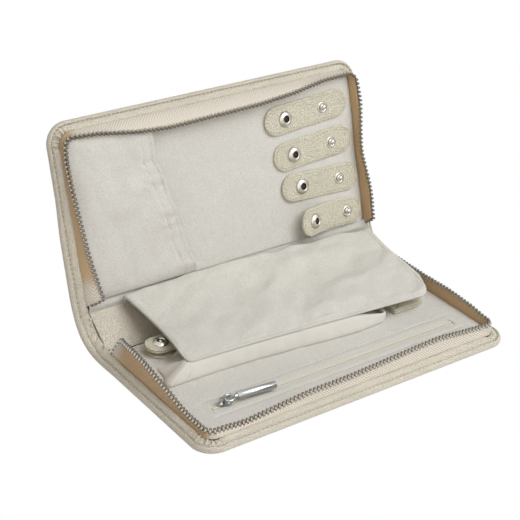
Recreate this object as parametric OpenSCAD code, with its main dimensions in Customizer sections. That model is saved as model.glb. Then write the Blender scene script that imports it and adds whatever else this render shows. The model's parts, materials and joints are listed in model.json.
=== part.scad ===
// Zip-around leather travel jewelry case, standing open.
// Millimetres. Z is up, X is the width, the front edge is at -Y. The origin is the centre of the
// underside of the base half. Each half is drawn in its own frame: v runs from the spine fold to
// the outer edge, h rises from the outer leather towards the inside.

/* [Case] */
// Width of the closed case, side to side
case_w = 250; // [240:1:280]
// Depth of the closed case, from the spine to the front edge
case_d = 120; // [118:1:140]
// Thickness of the closed case
case_t = 46; // [45:1:56]
// Radius of the outer corners, seen from above
corner_r = 15; // [14:0.5:20]
// Angle between the base and the standing lid
lid_open = 72.6; // [60:0.2:90]

/* [Leather shell] */
// Thickness of the outer leather
leather_t = 1.8; // [1.2:0.1:2]
// Radius of the rolled leather edge
roll_r = 2.6; // [2.3:0.1:2.8]
// Thickness of the board inside the leather
board_t = 1.2; // [0.8:0.1:1.4]
// Distance from the outer edge to the edge of the board
board_inset = 8.5; // [8.5:0.1:9.5]
// Height of a fold line above the outer face of the leather
fold_h = 2.5; // [2:0.1:2.8]
// Clearance between pieces on different bodies
gap = 0.35; // [0.25:0.05:0.5]
// Height of the turned-in leather band above the outer face
rim_h = 7.2; // [6.8:0.1:8]

/* [Lining] */
// Height of the lining face above the outer face of the leather
floor_h = 9; // [9:0.1:9.6]
// Thickness of the lining panel
lining_t = 0.9; // [0.6:0.1:1.2]
// Distance from the outer edge to the edge of the lining
lining_inset = 10.5; // [10.5:0.1:12]

/* [Zip around the edge] */
// Pitch of the metal teeth
tooth_pitch = 2.8; // [2.6:0.1:4]
// Width of a tooth along the chain
tooth_w = 1.3; // [1:0.1:1.5]
// Height of a tooth above the tape
tooth_h = 2.8; // [2:0.1:3]
// Thickness of a tooth across the tape
tooth_t = 2.2; // [1.8:0.1:2.6]
// Thickness of each layer of the zip tape
tape_t = 0.7; // [0.5:0.1:0.8]
// Distance from the outer edge to the tape's seam in the leather band
tape_foot_inset = 7.4; // [7.2:0.1:8]
// Share of its lean that the tape has half-way up
tape_bow = 0.3; // [0.2:0.05:0.5]
// Clearance between the feet of the teeth and the upper edge of the tape
tape_shy = 0.25; // [0.2:0.05:0.5]
// How far the teeth stop short of the middle of the closed case
zip_shy = 0.5; // [0.3:0.1:1]

/* [Spine] */
// Height of the leather band along the spine
band_w = 28; // [22:1:30]
// Thickness of the leather band
band_t = 1.5; // [1:0.1:1.6]
// Radius of the raised welt on the base beside the spine
welt_r = 1.5; // [1.2:0.1:1.6]
// Distance from the spine fold to the welt
welt_set = 4.4; // [4.3:0.1:4.5]

/* [Pocket in the base] */
// Distance from each side of the case to the zip slot
slot_end = 26.5; // [25:0.5:50]
// Width of the zip slot
slot_w = 7; // [6:0.5:8]
// Place of the slot's centre behind the front edge
slot_y = 31; // [29:1:34]
// Depth of the pocket bag, front to back
bag_d = 62; // [40:1:70]
// Diameter of the tubular puller
pull_d = 5; // [4:0.5:6]
// Length of the tubular puller
pull_l = 27; // [20:1:32]

/* [Pouch, flap and ring roll] */
// Distance from the soft pouch to the right side of the case
pouch_right = 62; // [58:0.5:88]
// Distance from the left side of the case to the pouch
pouch_left = 22; // [21.5:0.5:24]
// Distance from the front edge of the case to the pouch
pouch_front = 60; // [58:0.5:61]
// Depth of the pouch, front to back
pouch_d = 28; // [24:1:30]
// Height of the pouch
pouch_h = 10.5; // [9:0.5:11]
// Wall of the pouch
pouch_t = 1.5; // [1:0.1:2]
// Length of the padded tab at the right of the pouch
side_tab_l = 31; // [26:0.5:31]
// Width of the padded tab
side_tab_w = 22; // [18:0.5:22]
// Thickness of the padded tab
side_tab_t = 3.4; // [2.6:0.1:4]
// Distance from the padded tab to the right side of the case
side_tab_right = 23; // [21.5:0.5:23]
// Width of the flap at its fold
flap_w = 194; // [180:1:198]
// Length of the flap, fold to front edge
flap_l = 58; // [52:1:58]
// How much shorter the flap is at its left end
flap_skew = 12; // [0:0.5:13]
// Distance from the spine fold to the flap's fold
flap_set = 10; // [10:0.5:11]
// How far the flap's cloth runs back from its fold to its rear ridge, at the left end
ridge_back = 32; // [30:0.5:33]
// How much nearer the ridge is at the right end
ridge_skew = 9.5; // [8:0.5:10]
// Height of the ridge above the lining
ridge_rise = 20.8; // [20:0.1:21.2]
// Thickness of the flap
flap_t = 2.6; // [2:0.1:3]
// Height of the flap's underside above the lining
flap_rise = 12.6; // [12.4:0.1:13]
// Diameter of the ring roll
roll_d = 11.4; // [10:0.2:11.6]
// Distance from the flap's fold to the ring roll's axis
roll_behind = 8; // [7.8:0.1:8.2]
// Length of the ring roll
roll_l = 150; // [120:1:160]
// Thickness of a leather tab, two layers
tab_t = 2.4; // [2:0.1:2.8]
// Width of the tab on the ring roll
strap_w = 19; // [17:1:20]

/* [Snap tabs in the lid] */
// Width of a snap tab
tab_w = 20; // [18:0.5:21]
// Distance from the fold of a tab to its snaps
snap_reach = 16.75; // [15:0.25:18]
// Length of a tab's free half
tab_free_l = 34; // [30:1:36]
// How much longer a tab's free half may be than its fixed half
tab_over = 1.5; // [0:0.5:1.5]
// Diameter of a snap socket
socket_d = 11; // [10:0.5:12]
// Height of a snap socket above its tab
socket_h = 2.6; // [2.2:0.1:2.8]
// Diameter of a stud's flange
stud_d = 8.5; // [8:0.5:10]
// Diameter of a stud's ball
ball_d = 3.6; // [3:0.1:3.8]
// How far the lowest tab is lifted
tab_lift = 17; // [0:1:17]

/* [Slip pocket in the lid] */
// Distance from the outer edge of the lid to the pocket's upper seam
pocket_top = 19; // [19:0.5:21]
// Distance from the left side of the lid to the pocket's side seam
pocket_side = 17; // [17:0.5:19]
// How far the pocket's face stands off the lining
pocket_room = 6; // [5.6:0.1:6.6]
// Thickness of the pocket's cloth
pocket_t = 1; // [0.6:0.1:1.2]
// Diameter of the gathered hem
hem_d = 2.8; // [2.4:0.1:3.4]

/* [Hidden] */
$fn = 48;

half_w = case_w / 2;
slot_l = case_w - 2 * slot_end;
pouch_w = case_w - pouch_left - pouch_right;
mid_h = case_t / 2;
spine_l = case_t - 2 * fold_h;
spine_open = lid_open / 2;
fold_r = fold_h - 0.3;
board_h = leather_t;
under_h = board_h + board_t;
tooth_top = mid_h - zip_shy;
base_y = case_d / 2;
front_y = -base_y;

leather = [0.86, 0.83, 0.76];
suede = [0.85, 0.84, 0.8];
cloth = [0.92, 0.9, 0.86];
tan = [0.8, 0.68, 0.52];
nickel = [0.75, 0.75, 0.73];
board_grey = [0.55, 0.52, 0.47];

// Height of the teeth's tips along the chain: share of the way round, and height.
base_wave = [[0, 19], [0.054, 22.5], [0.0935, 21], [0.132, 17.5], [0.179, 13], [0.275, 12.9],
             [0.312, 11.4], [0.3525, 12.8], [0.415, 15.6], [0.487, 15.8], [0.5625, 17.4],
             [0.64, 19.2], [0.71, 16.2], [0.783, 15.4], [0.815, 17.8], [0.862, 19.2],
             [0.916, 18.5], [1, 19.5]];
lid_wave = [[0, 18.5], [0.03, 16.5], [0.075, 15.4], [0.15, 14.4], [0.2, 13.6], [0.25, 14],
            [0.3, 15.8], [0.35, 18], [0.41, 19.6], [0.5, 20.2], [0.57, 20], [0.63, 19],
            [0.69, 16.8], [0.74, 16], [0.79, 18.3], [0.84, 19], [0.9, 19], [0.95, 20.4],
            [1, 19]];
// How far in from the outer edge the teeth lean along the chain.
base_lean = [[0, 9.6], [0.1, 9], [0.2, 8.6], [0.3, 9.4], [0.45, 8.6], [0.6, 9.4], [0.8, 8.6],
             [1, 9.6]];
lid_lean = [[0, 12.6], [0.03, 12.6], [0.048, 11.4], [0.075, 9.8], [0.114, 8.3], [0.14, 7.4],
            [0.165, 7], [0.2, 7], [0.235, 9], [0.27, 9.6], [0.303, 10.4], [0.34, 13.3],
            [0.37, 15.2], [0.41, 16.4], [0.5, 15.6], [0.565, 15], [0.63, 12.8],
            [0.685, 9.4], [0.73, 9], [0.787, 7.4], [0.81, 7], [0.833, 8.1], [0.86, 10],
            [0.884, 11], [0.907, 9.5], [0.933, 8], [0.955, 7], [1, 7]];

// ---- Frames of the halves ----

module in_base() { translate([0, base_y, 0]) mirror([0, 1, 0]) children(); }

// Place (y, z) of a point of the spine, s above its lower fold and h inwards.
function spine_pt(s, h) = [
    base_y + s * cos(spine_open) - (h - fold_h) * sin(spine_open),
    fold_h + s * sin(spine_open) + (h - fold_h) * cos(spine_open)];

module in_spine() { translate([0, base_y, fold_h]) rotate([spine_open, 0, 0]) children(); }

module in_lid()
    translate([0, base_y + spine_l * cos(spine_open), fold_h + spine_l * sin(spine_open)])
        rotate([lid_open, 0, 0]) translate([0, 0, -fold_h]) children();

// ---- The way round a half: down one side, along the outer edge and back ----

side_l = case_d - corner_r;
edge_l = case_w - 2 * corner_r;
arc_l = PI / 2 * corner_r;
way_l = 2 * side_l + 2 * arc_l + edge_l;

function arc_pt(cx, a, d) = [cx + (corner_r - d) * cos(a), side_l + (corner_r - d) * sin(a)];

// Point at distance s along the outer edge, moved in by d.
function way_pt(s, d) =
    s <= side_l ? [-half_w + d, s] :
    s <= side_l + arc_l ? arc_pt(-half_w + corner_r, 180 - (s - side_l) / arc_l * 90, d) :
    s <= side_l + arc_l + edge_l ? [-half_w + corner_r + s - side_l - arc_l, case_d - d] :
    s <= way_l - side_l
        ? arc_pt(half_w - corner_r, 90 - (s - side_l - arc_l - edge_l) / arc_l * 90, d) :
    [half_w - d, way_l - s];

// Direction of the chain at distance s, in degrees from X.
function way_dir(s) =
    s <= side_l ? 90 :
    s <= side_l + arc_l ? 90 - (s - side_l) / arc_l * 90 :
    s <= side_l + arc_l + edge_l ? 0 :
    s <= way_l - side_l ? -(s - side_l - arc_l - edge_l) / arc_l * 90 : -90;

// Both ends of the chain turn in beside the spine.
tuck_l = 12;
function tuck(s) = tuck_l * pow(max(0, 1 - min(s, way_l - s) / 9), 2);

function lean(s, table) = lookup(s / way_l, table) + tuck(s);
function tip(s, table) = min(lookup(s / way_l, table), tooth_top);

// Distances along the way where a layer of tape has a rib.
straight_step = 7.5;
function steps(from, to, n) = [for (i = [0:n - 1]) from + (to - from) * i / n];
stations = concat(
    steps(2.5, 14.5, 4), steps(14.5, side_l, ceil(side_l / straight_step)),
    steps(side_l, side_l + arc_l, 6),
    steps(side_l + arc_l, side_l + arc_l + edge_l, ceil(edge_l / straight_step)),
    steps(side_l + arc_l + edge_l, way_l - side_l, 6),
    steps(way_l - side_l, way_l - 14.5, ceil(side_l / straight_step)),
    steps(way_l - 14.5, way_l - 2.5, 4), [way_l - 2.5]);

// A cloth strip round the half: ribs of four points, from its foot to its upper edge.
module strip(ribs) {
    n = len(ribs);
    k = len(ribs[0]);
    polyhedron(
        points = [for (rib = ribs) each rib],
        faces = concat(
            [[for (j = [0:k - 1]) j]],
            [for (i = [0:n - 2], j = [0:k - 1])
                [i * k + j, (i + 1) * k + j, (i + 1) * k + (j + 1) % k, i * k + (j + 1) % k]],
            [[for (j = [k - 1:-1:0]) (n - 1) * k + j]]),
        convexity = 10);
}

function rib_pt(s, d, h) = let (p = way_pt(s, d)) [p[0], p[1], h];

// The layer of tape between two insets; its upper edge stops under the teeth.
function tape_rib(s, foot, foot_h, off, wave, lean_table) =
    let (top = tip(s, wave) - tooth_h - tape_shy, d = lean(s, lean_table) + off,
         f = foot + tuck(s) * 0.9)
    [rib_pt(s, f, foot_h), rib_pt(s, f + tape_t, foot_h),
     rib_pt(s, f + (d - f) * tape_bow + tape_t, (foot_h + top) / 2 + 1),
     rib_pt(s, d + tape_t, top), rib_pt(s, d, top),
     rib_pt(s, f + (d - f) * tape_bow, (foot_h + top) / 2 + 1)];

module tape(wave, lean_table)
    strip([for (s = stations) tape_rib(s, tape_foot_inset, rim_h - 1.6, -tape_t, wave, lean_table)]);

module tape_lining(wave, lean_table)
    strip([for (s = stations)
        tape_rib(s, tape_foot_inset + tape_t + 0.1, under_h + 2.5, 0.05, wave, lean_table)]);

// One metal tooth: a clamped foot, a waist and a rounded head with a scoop.
module tooth()
    rotate([90, 0, 90]) linear_extrude(tooth_w, center = true) polygon([
        [-tooth_t / 2, 0], [tooth_t / 2, 0], [tooth_t / 2, tooth_h * 0.45],
        [tooth_t * 0.3, tooth_h * 0.62], [tooth_t * 0.36, tooth_h * 0.86],
        [tooth_t * 0.16, tooth_h], [-tooth_t * 0.16, tooth_h],
        [-tooth_t * 0.36, tooth_h * 0.86], [-tooth_t * 0.3, tooth_h * 0.62],
        [-tooth_t / 2, tooth_h * 0.45]]);

module teeth(wave, lean_table) {
    first = 3.2;
    count = floor((way_l - 2 * first) / tooth_pitch);
    for (i = [0:count]) {
        s = first + i * (way_l - 2 * first) / count;
        p = way_pt(s, lean(s, lean_table));
        translate([p[0], p[1], tip(s, wave) - tooth_h]) rotate([0, 0, way_dir(s)]) tooth();
    }
}

// ---- Shell of a half ----

// Outline of a half, moved in by d on its three free sides.
module outline(d, back = 0) {
    r = corner_r - d;
    translate([-half_w + d, back]) square([case_w - 2 * d, side_l - back]);
    translate([-half_w + corner_r, side_l - 0.01]) square([edge_l, r + 0.01]);
    for (side = [-1, 1]) translate([side * (half_w - corner_r), side_l]) circle(r);
}

// Sweeps a profile round the three free sides; x of the profile is the distance in.
module round_edge(back = 0) {
    for (side = [0, 1]) mirror([side, 0, 0]) {
        translate([-half_w, side_l, 0]) rotate([90, 0, 0]) linear_extrude(side_l - back) children();
        translate([-half_w + corner_r, side_l, 0]) rotate([0, 0, 90])
            rotate_extrude(angle = 90) translate([corner_r, 0]) mirror([1, 0]) children();
    }
    translate([half_w - corner_r, case_d, 0]) rotate([90, 0, -90])
        linear_extrude(edge_l) children();
}

// Clears the round fold of the spine.
module fold_clearance()
    translate([-half_w - 1, 0, fold_h]) rotate([0, 90, 0])
        cylinder(r = fold_r + gap, h = case_w + 2);

module cover() difference() {
    union() {
        linear_extrude(leather_t) outline(roll_r);
        round_edge() translate([roll_r, roll_r]) circle(roll_r);
    }
    fold_clearance();
}

module board() translate([0, 0, board_h]) linear_extrude(board_t) outline(board_inset, 6);

// The leather turned in from the rolled edge to the zip's seam.
module rim() difference() {
    round_edge(fold_r + gap + 0.2) difference() {
        polygon([[1.2, roll_r * 1.7], [2, roll_r * 2 + 0.5], [4, rim_h - 0.5],
                 [tape_foot_inset - 1.2, rim_h], [tape_foot_inset - 0.1, rim_h - 0.6],
                 [tape_foot_inset - 0.1, leather_t + 0.05], [roll_r, leather_t + 0.05]]);
        translate([roll_r, roll_r]) circle(roll_r + 0.05);
    }
    for (side = [-1, 1], i = [0:8]) corner_pleat(side, 5 + i * 10);
}

// A tuck in the leather where it is gathered round a corner.
module corner_pleat(side, a)
    translate([side * (half_w - corner_r), side_l, rim_h + 0.4]) rotate([0, 0, 90 - side * a])
        translate([corner_r - 6, 0, 0]) rotate([0, 100, 0]) cylinder(r = 0.55, h = 5);

// The padded lining over the board, as far as the zip's tape.
module pad() translate([0, 0, under_h + 0.05]) linear_extrude(floor_h - under_h - 0.05)
    outline(lining_inset, 6);

// The same lining with a pocket under it and the pocket's slot through it.
module pocket_pad() difference() {
    pad();
    linear_extrude(floor_h - lining_t) outline(lining_inset + lining_t, 6 + lining_t);
    translate([-slot_l / 2, case_d - slot_y - slot_w / 2, 0])
        cube([slot_l, slot_w, floor_h + 1]);
}

// ---- Base ----

module base_cover() color(leather) in_base() cover();

module base_board() color(board_grey) in_base() board();

module base_rim() color(leather) in_base() rim();

module base_lining() color(suede) in_base() pocket_pad();

module base_tape() color(cloth) in_base() tape(base_wave, base_lean);

module base_tape_lining() color(tan) in_base() tape_lining(base_wave, base_lean);

module base_teeth() color(nickel) in_base() teeth(base_wave, base_lean);

slot_cy = front_y + slot_y;
tape_w = (slot_w - 2.4) / 2;
coil_r = 0.8;
coil_h = floor_h - 0.3;

module pocket_zip_tape() color(cloth)
    for (side = [-1, 1])
        translate([-slot_l / 2 + 0.1, slot_cy + side * (slot_w / 2 - tape_w / 2 - 0.05) - tape_w / 2,
                   floor_h - lining_t])
            cube([slot_l - 0.2, tape_w, 0.6]);

// The closed coil of the pocket zip, one turn beside the next.
module pocket_zip_coil() color(cloth) {
    turns = floor((slot_l - 2) / 6);
    translate([-slot_l / 2 + 0.5, slot_cy, coil_h]) rotate([0, 90, 0])
        cylinder(r = coil_r, h = slot_l - 1);
    for (i = [1:turns - 1])
        translate([-slot_l / 2 + i * slot_l / turns, slot_cy, coil_h])
            rotate([0, 90, 0]) cylinder(r = coil_r + 0.1, h = 1.4, center = true);
}

bag_w = slot_l + 8;
bag_wall = 0.5;

module pocket_bag() color(cloth)
    translate([-bag_w / 2, slot_cy - 12, under_h + 0.05]) difference() {
        cube([bag_w, bag_d, floor_h - lining_t - under_h - 0.1]);
        translate([bag_wall, bag_wall, bag_wall]) cube([bag_w - 2 * bag_wall, bag_d - 2 * bag_wall, 9]);
    }

pouch_x = -half_w + pouch_left;
pouch_y = front_y + pouch_front;

// A soft open pouch: gathered front, rounded right end, open towards the back of the flap.
module pouch_block(d, up)
    hull() {
        for (x = [5, pouch_w - 9], y = [5, pouch_d - 5])
            translate([pouch_x + x, pouch_y + y, floor_h + up]) cylinder(r = 5 - d, h = 1, $fn = 20);
        for (x = [7, pouch_w - 12], y = [7, pouch_d - 5.5])
            translate([pouch_x + x, pouch_y + y, floor_h + pouch_h - 1 + up])
                cylinder(r = 5 - d, h = 1, $fn = 20);
    }

module pouch() color(cloth) difference() {
    pouch_block(0, 0.05);
    pouch_block(pouch_t, pouch_t);
}

// A leather tab with one square and one round end, in two stitched layers.
module leather_tab(l, w, t) {
    linear_extrude(t * 0.52) {
        translate([0, -w / 2]) square([l - w / 2, w]);
        translate([l - w / 2, 0]) circle(w / 2);
    }
    translate([0, 0, t * 0.5]) linear_extrude(t * 0.5) {
        translate([0, -w / 2 + 0.35]) square([l - w / 2, w - 0.7]);
        translate([l - w / 2, 0]) circle(w / 2 - 0.35);
    }
}

module side_tab() color(leather)
    translate([half_w - side_tab_right - side_tab_l, pouch_y + 9, floor_h + 0.05])
        leather_tab(side_tab_l, side_tab_w, side_tab_t);

flap_z = floor_h + flap_rise;
flap_back_y = base_y - flap_set;
roll_y = flap_back_y - roll_behind;
roll_z = floor_h + 0.1 + roll_d / 2;
roll_x = -half_w + 50;
stud_x = -half_w + 35;
strap_fold_x = roll_x - 0.9;

// The padded ring roll, sewn down at its right end, with its two end seams.
module ring_roll() color(suede) translate([roll_x, roll_y, roll_z]) rotate([0, 90, 0]) {
    rotate_extrude() polygon([[0, 0], [roll_d * 0.36, 0], [roll_d / 2, 3], [roll_d / 2, roll_l - 3],
                              [roll_d * 0.36, roll_l], [0, roll_l]]);
}

module ring_stud_tab() color(leather) translate([stud_x + 9, roll_y, floor_h + 0.05])
    rotate([0, 0, 180]) leather_tab(9 + strap_w / 2, strap_w, 1.6);

stud_z = floor_h + 0.05 + 1.6;

// The male half of a snap: a rolled flange, a neck and a ball.
module stud() {
    cylinder(d = stud_d, h = 0.45);
    cylinder(d = stud_d * 0.62, h = 0.7);
    cylinder(d = ball_d * 0.72, h = 1.6);
    translate([0, 0, 1.65]) intersection() {
        sphere(d = ball_d);
        translate([0, 0, -1.4]) cylinder(d = ball_d + 1, h = 4);
    }
}

// The female half of a snap: a domed ring round an open bore.
module socket(h) rotate_extrude()
    polygon([[2.5, 0], [socket_d / 2, 0], [socket_d / 2, h * 0.3], [socket_d * 0.42, h * 0.62],
             [socket_d * 0.34, h * 0.72], [socket_d * 0.31, h], [2.5, h]]);

module ring_stud() color(nickel) translate([stud_x, roll_y, stud_z + 0.02]) stud();

strap_z = stud_z + 0.4 + 2.2;

module ring_strap() color(leather) translate([strap_fold_x, roll_y, strap_z]) {
    difference() {
        rotate([0, 0, 180])
            leather_tab(strap_fold_x - stud_x + strap_w / 2, strap_w - 1, tab_t);
        translate([stud_x - strap_fold_x, 0, -1]) cylinder(r = 2.5, h = 6);
    }
}

module ring_socket() color(nickel) translate([stud_x, roll_y, strap_z]) {
    translate([0, 0, -0.02]) mirror([0, 0, 1]) socket(1.7);
    translate([0, 0, tab_t + 0.02]) difference() {
        cylinder(d = socket_d * 0.78, h = 0.6);
        translate([0, 0, -1]) cylinder(r = 2.5, h = 3);
    }
}

// The upright cloth that carries the flap behind the ring roll.
module flap_skirt() color(suede)
    translate([roll_x + 1, flap_back_y - 1.2, floor_h + 0.05])
        cube([flap_w / 2 - roll_x, 1.6, flap_rise - gap]);

// The suede flap: a padded panel whose front corners are rounded and whose left edge slants.
module flap() color(suede) {
    hull() {
        for (corner = [[-flap_w / 2 + 10, flap_skew], [flap_w / 2 - 9, 0]])
            translate([corner[0], flap_back_y - flap_l + 7 + corner[1], flap_z + 0.1])
                cylinder(r = 7, h = flap_t - 0.1, $fn = 32);
        translate([-flap_w / 2, flap_back_y - 2, flap_z]) cube([flap_w + 2, 2, flap_t]);
    }
    translate([-flap_w / 2, flap_back_y, flap_z + flap_t / 2]) rotate([0, 90, 0])
        cylinder(d = flap_t, h = flap_w + 2);
}

// The flap's cloth behind its fold: it rises to a ridge and drops behind the spine's band.
module flap_root() color(suede) {
    r = flap_t * 0.4;
    band_end = spine_pt(fold_r + 1 + band_w + band_t / 2 + gap + r, leather_t + band_t + 1.3);
    left = -flap_w / 2 + 3;
    right = flap_w / 2 + 6;
    run = [[flap_back_y + flap_t / 2 + gap + r, flap_z + flap_t / 2],
           [flap_back_y + ridge_back * 0.5, flap_z + flap_t / 2 + 1.6],
           [flap_back_y + ridge_back, floor_h + ridge_rise], band_end];
    slant = [0, 0.5, 1, 0];
    for (i = [0:len(run) - 2]) hull() for (k = [i, i + 1])
        for (side = [[left, 0], [right, ridge_skew]])
            translate([side[0], run[k][0] - side[1] * slant[k], run[k][1]]) rotate([0, 90, 0])
                cylinder(r = r, h = 0.5, $fn = 12);
}

// The leather folded up beside the spine: a web on the cover and a rounded top.
module base_welt() color(leather)
    translate([-half_w + 14, base_y - welt_set, leather_t + 0.05]) {
        translate([0, 0, floor_h - leather_t - 2.2]) rotate([0, 90, 0])
            cylinder(r = welt_r, h = case_w - 28);
        translate([0, -0.6, 0]) cube([case_w - 28, 1.2, floor_h - leather_t - 2.2]);
    }

// ---- Slider and puller of the pocket zip ----

slider_x = -slot_l / 2 + 9;
slider_z = coil_h + coil_r + 0.25;
slider_t = 1.2;
bail_x = slider_x + 1;
pull_axis_z = slider_z + slider_t + 1.9;

module pocket_slider() color(nickel) translate([slider_x, slot_cy, slider_z]) {
    hull() {
        translate([-3, 0, 0]) cylinder(r = 1.6, h = slider_t, $fn = 24);
        for (side = [-1, 1])
            translate([3, side * 1.3, 0]) cylinder(r = 1.6, h = slider_t, $fn = 24);
    }
    for (x = [-3.4, 2.4]) translate([x, -0.8, slider_t - 0.1]) cube([1.6, 1.6, 3.2]);
    translate([-3.4, -0.8, slider_t + 2.8]) cube([7.4, 1.6, 0.9]);
}

// The ring in the slider's bridge and the tube that hangs from it.
module pocket_pull() color(nickel) translate([bail_x, slot_cy, pull_axis_z]) {
    difference() {
        translate([2.6, 0, -0.1]) cylinder(r = 4.2, h = 1.5, center = true);
        translate([2.6, 0, 0]) cylinder(r = 2.4, h = 5, center = true);
        translate([1, -1.1, -2]) cube([3, 2.2, 4]);
    }
    translate([6.4, 0, 0]) rotate([0, 90, 0]) {
        cylinder(d = pull_d * 0.6, h = 2.2);
        translate([0, 0, 2]) difference() {
            cylinder(d = pull_d, h = pull_l);
            translate([0, 0, pull_l - 1]) cylinder(d = pull_d * 0.6, h = 2);
        }
    }
}

// ---- Spine ----

module spine_cover() color(leather) in_spine() translate([0, 0, -fold_h]) {
    translate([-half_w, 0, 0.3]) cube([case_w, spine_l, leather_t - 0.3]);
    for (v = [0, spine_l])
        translate([-half_w, v, fold_h]) rotate([0, 90, 0]) cylinder(r = fold_r, h = case_w);
}

module spine_board() color(board_grey) in_spine()
    translate([-half_w + board_inset, fold_r + 1, leather_t + 0.05 - fold_h])
        cube([case_w - 2 * board_inset, spine_l - 2 * fold_r - 2, board_t]);

module spine_band() color(leather) in_spine() {
    z = under_h + 0.1 - fold_h;
    translate([-half_w + 8, fold_r + 1, z]) cube([case_w - 16, band_w, band_t]);
    translate([-half_w + 8, fold_r + 1 + band_w, z + band_t / 2]) rotate([0, 90, 0])
        cylinder(d = band_t, h = case_w - 16);
}

main_x = half_w - 30;
main_v = 14;
main_z = under_h + band_t + 0.15 - fold_h;

module main_slider() color(nickel) in_spine() translate([main_x, main_v, main_z]) {
    hull() {
        translate([4, 0, 0]) cylinder(r = 3, h = slider_t, $fn = 24);
        for (side = [-1, 1])
            translate([-4, side * 1.5, 0]) cylinder(r = 3, h = slider_t, $fn = 24);
    }
    for (x = [-4, 3]) translate([x, -1, slider_t - 0.1]) cube([1.4, 2, 3.4]);
    translate([-4, -1, slider_t + 3.1]) cube([8.4, 2, 0.9]);
}

module main_pull() color(nickel) in_spine() translate([main_x - 1, main_v, main_z + slider_t + 2.2]) {
    difference() {
        translate([-2.6, 0, 0]) cylinder(r = 4.4, h = 1.3, center = true);
        translate([-2.6, 0, 0]) cylinder(r = 2.6, h = 5, center = true);
        translate([-4, -1.35, -2]) cube([3.4, 2.7, 4]);
    }
    translate([-6.6, 0, 0]) rotate([0, -90, 0]) {
        cylinder(d = pull_d * 0.5, h = 2.2);
        translate([0, 0, 2]) cylinder(d = pull_d * 0.9, h = pull_l);
    }
}

// ---- Lid ----

module lid_cover() color(leather) in_lid() cover();

module lid_board() color(board_grey) in_lid() board();

module lid_rim() color(leather) in_lid() rim();

module lid_lining() color(suede) in_lid() pad();

module lid_tape() color(cloth) in_lid() tape(lid_wave, lid_lean);

module lid_tape_lining() color(tan) in_lid() tape_lining(lid_wave, lid_lean);

module lid_teeth() color(nickel) in_lid() teeth(lid_wave, lid_lean);

// Mouth of the slip pocket, from the spine to the outer edge.
mouth = [[-half_w + 90, 9], [-half_w + 78, 55], [-half_w + 71, 80], [-half_w + 69, case_d - pocket_top]];
pocket_left = -half_w + pocket_side;

module pocket_plan(d)
    polygon(concat([[pocket_left + d, mouth[0][1] + d]],
                   [for (i = [0:3]) [mouth[i][0], mouth[i][1] + (i == 0 ? d : i == 3 ? -d : 0)]],
                   [[pocket_left + 6 + d, mouth[3][1] - d], [pocket_left + d, mouth[3][1] - 6 - d]]));

module lid_pocket() color(cloth) in_lid() translate([0, 0, floor_h + 0.05]) difference() {
    linear_extrude(pocket_room + pocket_t) pocket_plan(0);
    translate([0, 0, -1]) linear_extrude(pocket_room + 1) union() {
        pocket_plan(pocket_t);
        translate([4, 0]) intersection() {
            pocket_plan(pocket_t);
            translate([-half_w + 60, 0]) square([40, case_d]);
        }
    }
}

module lid_pocket_hem() color(cloth) in_lid()
    for (i = [0:2]) {
        a = mouth[i];
        b = mouth[i + 1];
        translate([a[0] + hem_d / 2 + 0.3, a[1], floor_h + pocket_room + pocket_t])
            rotate([-90, 0, atan2(a[0] - b[0], b[1] - a[1])]) {
                cylinder(d = hem_d, h = norm(b - a));
                sphere(d = hem_d * 1.06);
            }
    }

// ---- Snap tabs ----

// Each tab's fold: across, up the lid, tilt, lift and the length of its fixed half.
folds = [[half_w - 54.3, 90, 3.3, 0, 38.5], [half_w - 50.2, 64, 3.6, 0, 35.5],
         [half_w - 46.6, 38.6, -2.4, 0, 33.5], [half_w - 42.7, 13, -1.6, tab_lift, 30]];
fold_rise = (socket_h + 1) / 2;

module at_fold(i) in_lid() translate([folds[i][0], folds[i][1], floor_h + 0.05])
    rotate([0, 0, folds[i][2]]) children();

module on_free(i) at_fold(i) translate([0, 0, tab_t + fold_rise]) rotate([0, folds[i][3], 0])
    translate([0, 0, -tab_t - fold_rise]) children();

module tab_fixed(i) color(leather) at_fold(i) translate([0.2, 0, 0])
    leather_tab(folds[i][4], tab_w, tab_t);

module tab_free(i) color(leather) on_free(i) translate([-0.2, 0, 0]) rotate([0, 0, 180])
    leather_tab(min(tab_free_l, folds[i][4] + tab_over), tab_w, tab_t);

module tab_stud(i) color(nickel) at_fold(i) translate([snap_reach, 0, tab_t + 0.02]) stud();

module tab_socket(i) color(nickel) on_free(i) translate([-snap_reach, 0, tab_t + 0.02])
    socket(socket_h);

base_cover();
base_board();
base_rim();
base_lining();
base_tape();
base_tape_lining();
base_teeth();
pocket_zip_tape();
pocket_zip_coil();
pocket_bag();
pouch();
side_tab();
ring_roll();
ring_stud_tab();
ring_stud();
flap_skirt();
flap_root();
base_welt();
ring_strap();
ring_socket();
pocket_slider();
pocket_pull();
flap();
spine_cover();
spine_board();
spine_band();
main_slider();
main_pull();
lid_cover();
lid_board();
lid_rim();
lid_lining();
lid_tape();
lid_tape_lining();
lid_teeth();
lid_pocket();
lid_pocket_hem();
tab_fixed(0);  // tab_fixed_1
tab_fixed(1);  // tab_fixed_2
tab_fixed(2);  // tab_fixed_3
tab_fixed(3);  // tab_fixed_4
tab_stud(0);  // stud_1
tab_stud(1);  // stud_2
tab_stud(2);  // stud_3
tab_stud(3);  // stud_4
tab_free(0);  // tab_free_1
tab_free(1);  // tab_free_2
tab_free(2);  // tab_free_3
tab_free(3);  // tab_free_4
tab_socket(0);  // socket_1
tab_socket(1);  // socket_2
tab_socket(2);  // socket_3
tab_socket(3);  // socket_4
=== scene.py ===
"""Looks of a zip-around leather travel jewelry case that stands open.

Lengths in this file are millimetres until mesh() turns them into metres. Each half of the case
is described flat: x across, v from the spine's fold to the outer edge, h from the outer leather
inwards. place() bends that flat pattern over the spine, so leather, band and zip stay one cloth.
"""
import json
import math
from contextlib import contextmanager

import bmesh
import bpy
import numpy as np
from mathutils import Matrix, Vector


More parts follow.
